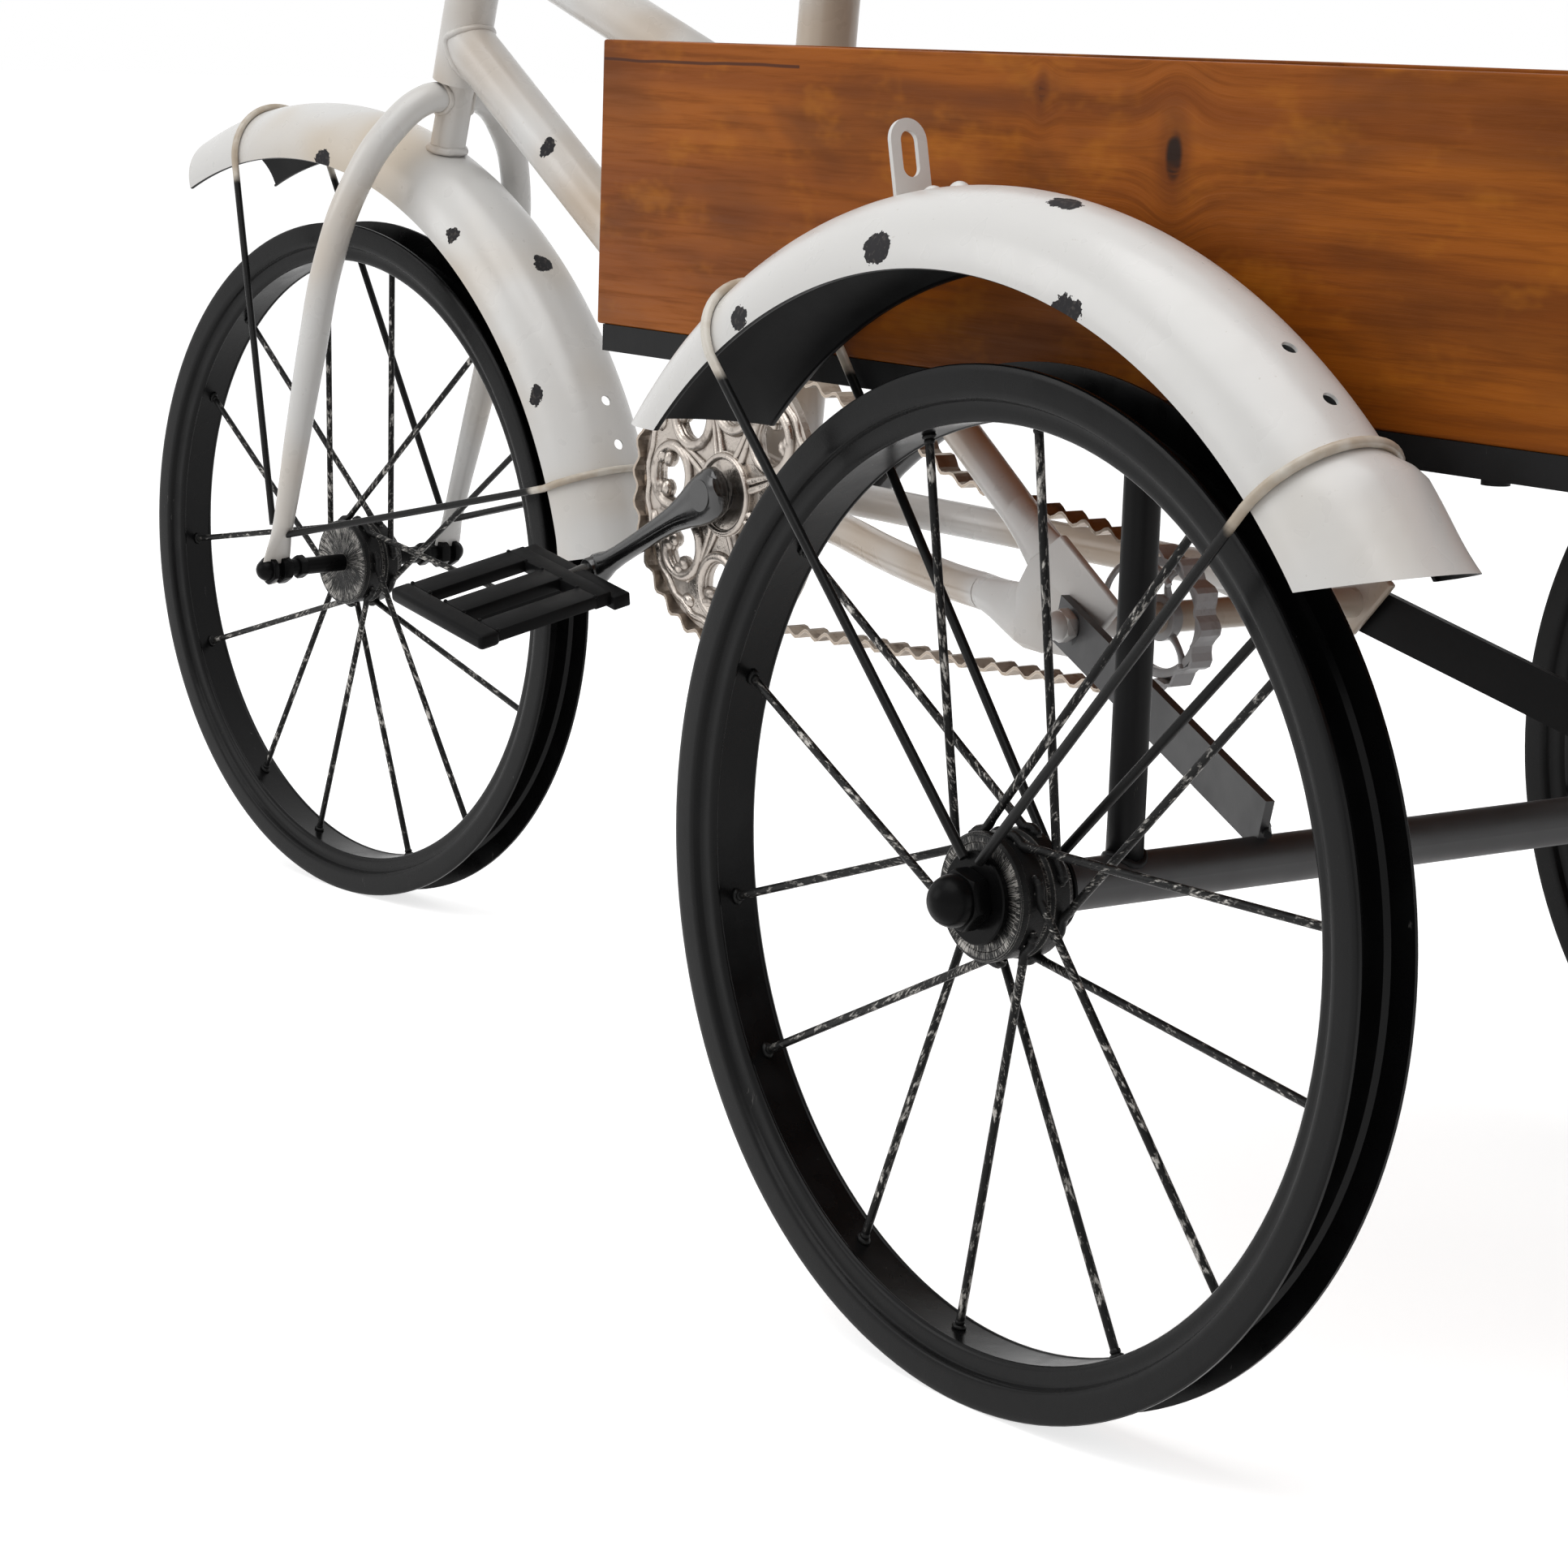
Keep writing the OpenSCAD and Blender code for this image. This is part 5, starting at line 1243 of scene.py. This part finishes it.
class STAND_OT_pedals(PieceOperator, bpy.types.Operator):
    """Build the pedals from welded flat bars"""
    bl_idname = "stand.pedals"
    bl_label = "Pedals"

    def execute(self, context):
        # the plates lie high on the pedal, and the spindle runs under them in the middle bar
        parts = [block((-42, -96, -1.6), (42, -83.5, 6.5), 2.6, 4),
                 block((-40, -24, -1.2), (40, -13.6, 6.2), 0.8),
                 block((-43, -14.4, -3.6), (43, -4, 3.9), 0.9),
                 block((-7.6, -84.5, -5.6), (7.6, -13, 5.9), 1.6, 3)]
        for low, high in ((-40, -23.5), (-8.6, 8.6), (23.5, 40)):
            parts.append(block((low, -84.5, -0.6), (high, -22, 6.2), 0.8))
            parts += [blob(Vector((x * 0.985, y, 5.9)) * MM, (1.3, 1.1, 1.1))
                      for x in (low, high) for y in (-83.4, -23.4)]
        left_at, right_at = [at(CRANK + polar(CRANK_LENGTH, CRANK_ANGLES[name], y))
                             for name, y in (("left", -56.5), ("right", 56.5))]
        droop, level = left_at @ rotation(16, "X"), right_at @ rotation(180, "Z")
        tilt = (at(Y * -14 * MM) @ rotation(-3, "X") @ at(Y * 14 * MM)
                @ rotation(10.5))
        pedals = placed(join(*parts), droop @ tilt, level)
        spindle = settle(turned([(4.3, -6), (6.3, -6), (6.6, -5.6), (6.6, -0.4), (6.2, 0.6), (4.5, 1.0),
                                 (4.5, 84), (3.8, 84.6)], 32, 35), OUTWARDS)
        dress(join(*placed(spindle, droop, level)), "shouldered_spindles", "root", "crank_gloss_black",
              "plated_steel", "pedal_spindles")
        for name, pedal in zip(("left", "right"), pedals):
            dress(pedal, name + "_welded_pedal", name + "_pedal", "pedal_black_paint", "pedal_black",
                  name + "_pedal")
        return {"FINISHED"}


class STAND_OT_ring_relief(PieceOperator, bpy.types.Operator):
    """Cast the beads and scrolls that stand on the chainring"""
    bl_idname = "stand.ring_relief"
    bl_label = "Chainring relief"

    def execute(self, context):
        parts = []
        for middle in [-5.5 + step * 45 for step in range(8)]:
            rim = [polar(48, middle) + polar(15.4, middle + knot * 30, -1.7) for knot in range(12)]
            parts.append(bent_tube(rim, 3.1, ring=4, steps=4, closed=True))
            for angle in (middle - 8.5, middle + 8.5):
                for radius, y in ((53.6, -0.6), (58.6, -1.2)):
                    parts.append(blob(polar(radius, angle, y), (3.3, 3.6, 5.0), rotation(-angle)))
            gap = middle + 22.5
            for side in (-1, 1):
                flute = [polar(radius, gap + side * angle, -y) for radius, angle, y in (
                    (19, 7, 2.4), (27, 4.5, 2.0), (34, 3.0, 1.9), (42, 2.0, 2.0), (50, 3.2, 1.8),
                    (58, 6.0, 1.6))]
                parts.append(bent_tube(flute, (2.4, 2.0, 1.7, 1.6, 1.8, 1.4), ring=3, steps=4))
            parts.append(blob(polar(65.5, gap, -1.5), (3.4, 2.6, 5.2), rotation(-gap)))
        outer = [polar(68.5 + knot % 2 * 1.6, knot * 7.5, -1.4) for knot in range(48)]
        parts.append(bent_tube(outer, 2.2, ring=3, steps=3, closed=True))
        boss = [polar(19.5, knot * 30, -4.0) for knot in range(12)]
        parts.append(bent_tube(boss, 1.9, ring=4, steps=4, closed=True))
        both_faces = join(*placed(join(*parts), HERE, MIRROR))
        settle(both_faces, at(CRANK + CHAIN_SIDE))
        dress(both_faces, "ring_relief", "root", "antique_silver", "antique_silver")
        return {"FINISHED"}


class STAND_OT_frame_welds(PieceOperator, bpy.types.Operator):
    """Run the weld beads where the frame's tubes meet"""
    bl_idname = "stand.frame_welds"
    bl_label = "Frame welds"

    def execute(self, context):
        wide = self.sizes.weld_bead / MM
        down_low, down_high = on_seat(20.3), on_head(25)
        top_low, top_high = on_seat(177), on_head(88.5)
        head, seat, shell = (HEAD_LOW, STEER_AXIS, 14.75), (CRANK, SEAT_AXIS, 15), (CRANK, Y, 19)
        beads = [bead(meeting(start, end, radius, *tube), wide) for start, end, radius, tube in (
            (down_low, down_high, 14.5, head), (top_low, top_high, 14.5, head),
            (top_high, top_low, 14.5, seat), (down_high, down_low, 14.5, seat),
            (on_seat(100), on_seat(0), 15, shell))]
        stay = meeting(STAY_LOW, STAY_HIGH, 8.5, *seat)
        chain_right = meeting(cart(-205, 74, 74), cart(-482, 14, 88), 8.5, *shell)
        chain_left = meeting(cart(-411, -24.5, 78.5), cart(-482, -14, 85), 8.5, *shell)
        beads += [bead(points, wide * 0.8) for points in (stay, mirrored(stay), chain_right, chain_left)]
        dress(join(*beads), "frame_welds", "root", "frame_paint", "frame_paint")

        crown = on_head(-9.5)
        blade_in = STEERED @ (crown + Vector((-2, -40, 0)) * MM)
        ring = meeting(blade_in, blade_in + STEERED.to_3x3() @ Y, 8.6, crown, STEER_AXIS, 10)
        other = [STEERED @ MIRROR @ STEERED.inverted() @ p for p in ring]
        foot = meeting_plane(on_head(0), -STEER_AXIS, 10, on_head(-39.5), Vector((0.16, 0, 0.987)))
        beads = [bead(ring, wide * 0.9), bead(other, wide * 0.9),
                 bead([STEERED @ p for p in foot], wide * 1.2)]
        dress(join(*beads), "fork_welds", "steering", "frame_paint", "frame_paint")

        beads = []
        for side in (-1, 1):
            post = cart(0, side * POST_Y, 100)
            beads.append(bead(meeting(post, post - Z, 7.5, cart(0, 0, 0), Y, 10), wide * 0.9))
            beads.append(bead(meeting_plane(post, Z, 7.5, cart(0, 0, 177.5), Z), wide * 0.8))
            strap = [cart(x, side * y, 12.5) for x, y in ((-7, 116.5), (-1, 122), (5, 127.5), (9, 131))]
            beads.append(bead(strap, wide * 0.9, closed=False))
        dress(join(*beads), "carrier_welds", "root", "satin_black_paint", "black_paint")
        return {"FINISHED"}


class STAND_OT_stage(PieceOperator, bpy.types.Operator):
    """Set the pale floor, the soft studio lights and the camera"""
    bl_idname = "stand.stage"
    bl_label = "Studio"

    def execute(self, context):
        scene = context.scene
        scene.view_settings.view_transform = "Standard"
        clear_selection()
        bpy.ops.mesh.primitive_plane_add(size=60, location=(0, 0, 0))
        floor = active()
        floor.name = "studio_floor"
        floor.data.materials.append(studio_paper(tuple(self.looks.floor_color)))
        for name, place, target, size, power in (
                ("top_light", (0.4, -0.9, 3.0), (0.1, 0.0, 0.2), 2.6, self.looks.key_power),
                ("side_light", (-1.6, -2.8, 1.5), (0.1, 0.0, 0.25), 1.8, self.looks.fill_power)):
            clear_selection()
            bpy.ops.object.light_add(type="AREA", location=place)
            lamp = active()
            lamp.name = name
            lamp.data.energy = power
            lamp.data.shape = "SQUARE"
            lamp.data.size = size
            lamp.rotation_euler = (Vector(target) - Vector(place)).to_track_quat("-Z", "Y").to_euler()
        # the room is seen white, and lights less than that
        world = bpy.data.worlds.new("studio_room")
        scene.world = world
        world.use_nodes = True
        room = Nodes(world.node_tree)
        lit, white = [room.signal("ShaderNodeBackground", 0, {"Color": (1, 1, 1, 1), "Strength": level})
                      for level in (self.looks.sky_level, 1.0)]
        both = room.signal("ShaderNodeMixShader", 0, {0: room.seen(), 1: lit, 2: white})
        room.add("ShaderNodeOutputWorld", {"Surface": both})
        clear_selection()
        bpy.ops.object.camera_add()
        camera = active()
        camera.name = "photo_camera"
        camera.data.sensor_width = 36
        camera.data.lens = 91.04
        camera.data.clip_end = 200
        right = Vector((0.594716, 0.803272, 0.032669))
        up = Vector((-0.168383, 0.084721, 0.982074))
        back = Vector((0.786104, -0.589556, 0.185644))
        camera.matrix_world = at((1.509945, -1.20517, 0.51655)) @ facing(right, up, back)
        scene.camera = camera
        return {"FINISHED"}


class STAND_PT_panel(bpy.types.Panel):
    """The stand's sizes, colours and pieces"""
    bl_idname = "STAND_PT_panel"
    bl_label = "Plant Stand"
    bl_space_type = "VIEW_3D"
    bl_region_type = "UI"
    bl_category = "Plant Stand"

    def draw(self, context):
        for group in (context.scene.stand_sizes, context.scene.stand_looks):
            for name in group.__annotations__:
                self.layout.prop(group, name)
        for operator in OPERATORS:
            self.layout.operator(operator.bl_idname)


OPERATORS = (STAND_OT_finishes, STAND_OT_box, STAND_OT_mudguards, STAND_OT_fork, STAND_OT_bowed_stay,
             STAND_OT_dropouts, STAND_OT_handlebar, STAND_OT_saddle, STAND_OT_rims, STAND_OT_spoke_ends,
             STAND_OT_hubs, STAND_OT_nuts, STAND_OT_uprights, STAND_OT_sprocket, STAND_OT_cranks,
             STAND_OT_pedals, STAND_OT_ring_relief, STAND_OT_frame_welds, STAND_OT_stage)
CLASSES = (StandSizes, StandLooks) + OPERATORS + (STAND_PT_panel,)


def register():
    for cls in CLASSES:
        bpy.utils.register_class(cls)
    bpy.types.Scene.stand_sizes = bpy.props.PointerProperty(type=StandSizes)
    bpy.types.Scene.stand_looks = bpy.props.PointerProperty(type=StandLooks)


def unregister():
    del bpy.types.Scene.stand_sizes
    del bpy.types.Scene.stand_looks
    for cls in reversed(CLASSES):
        bpy.utils.unregister_class(cls)


def main():
    register()
    for operator in OPERATORS:
        group, name = operator.bl_idname.split(".")
        getattr(getattr(bpy.ops, group), name)()


if __name__ == "__main__":
    main()
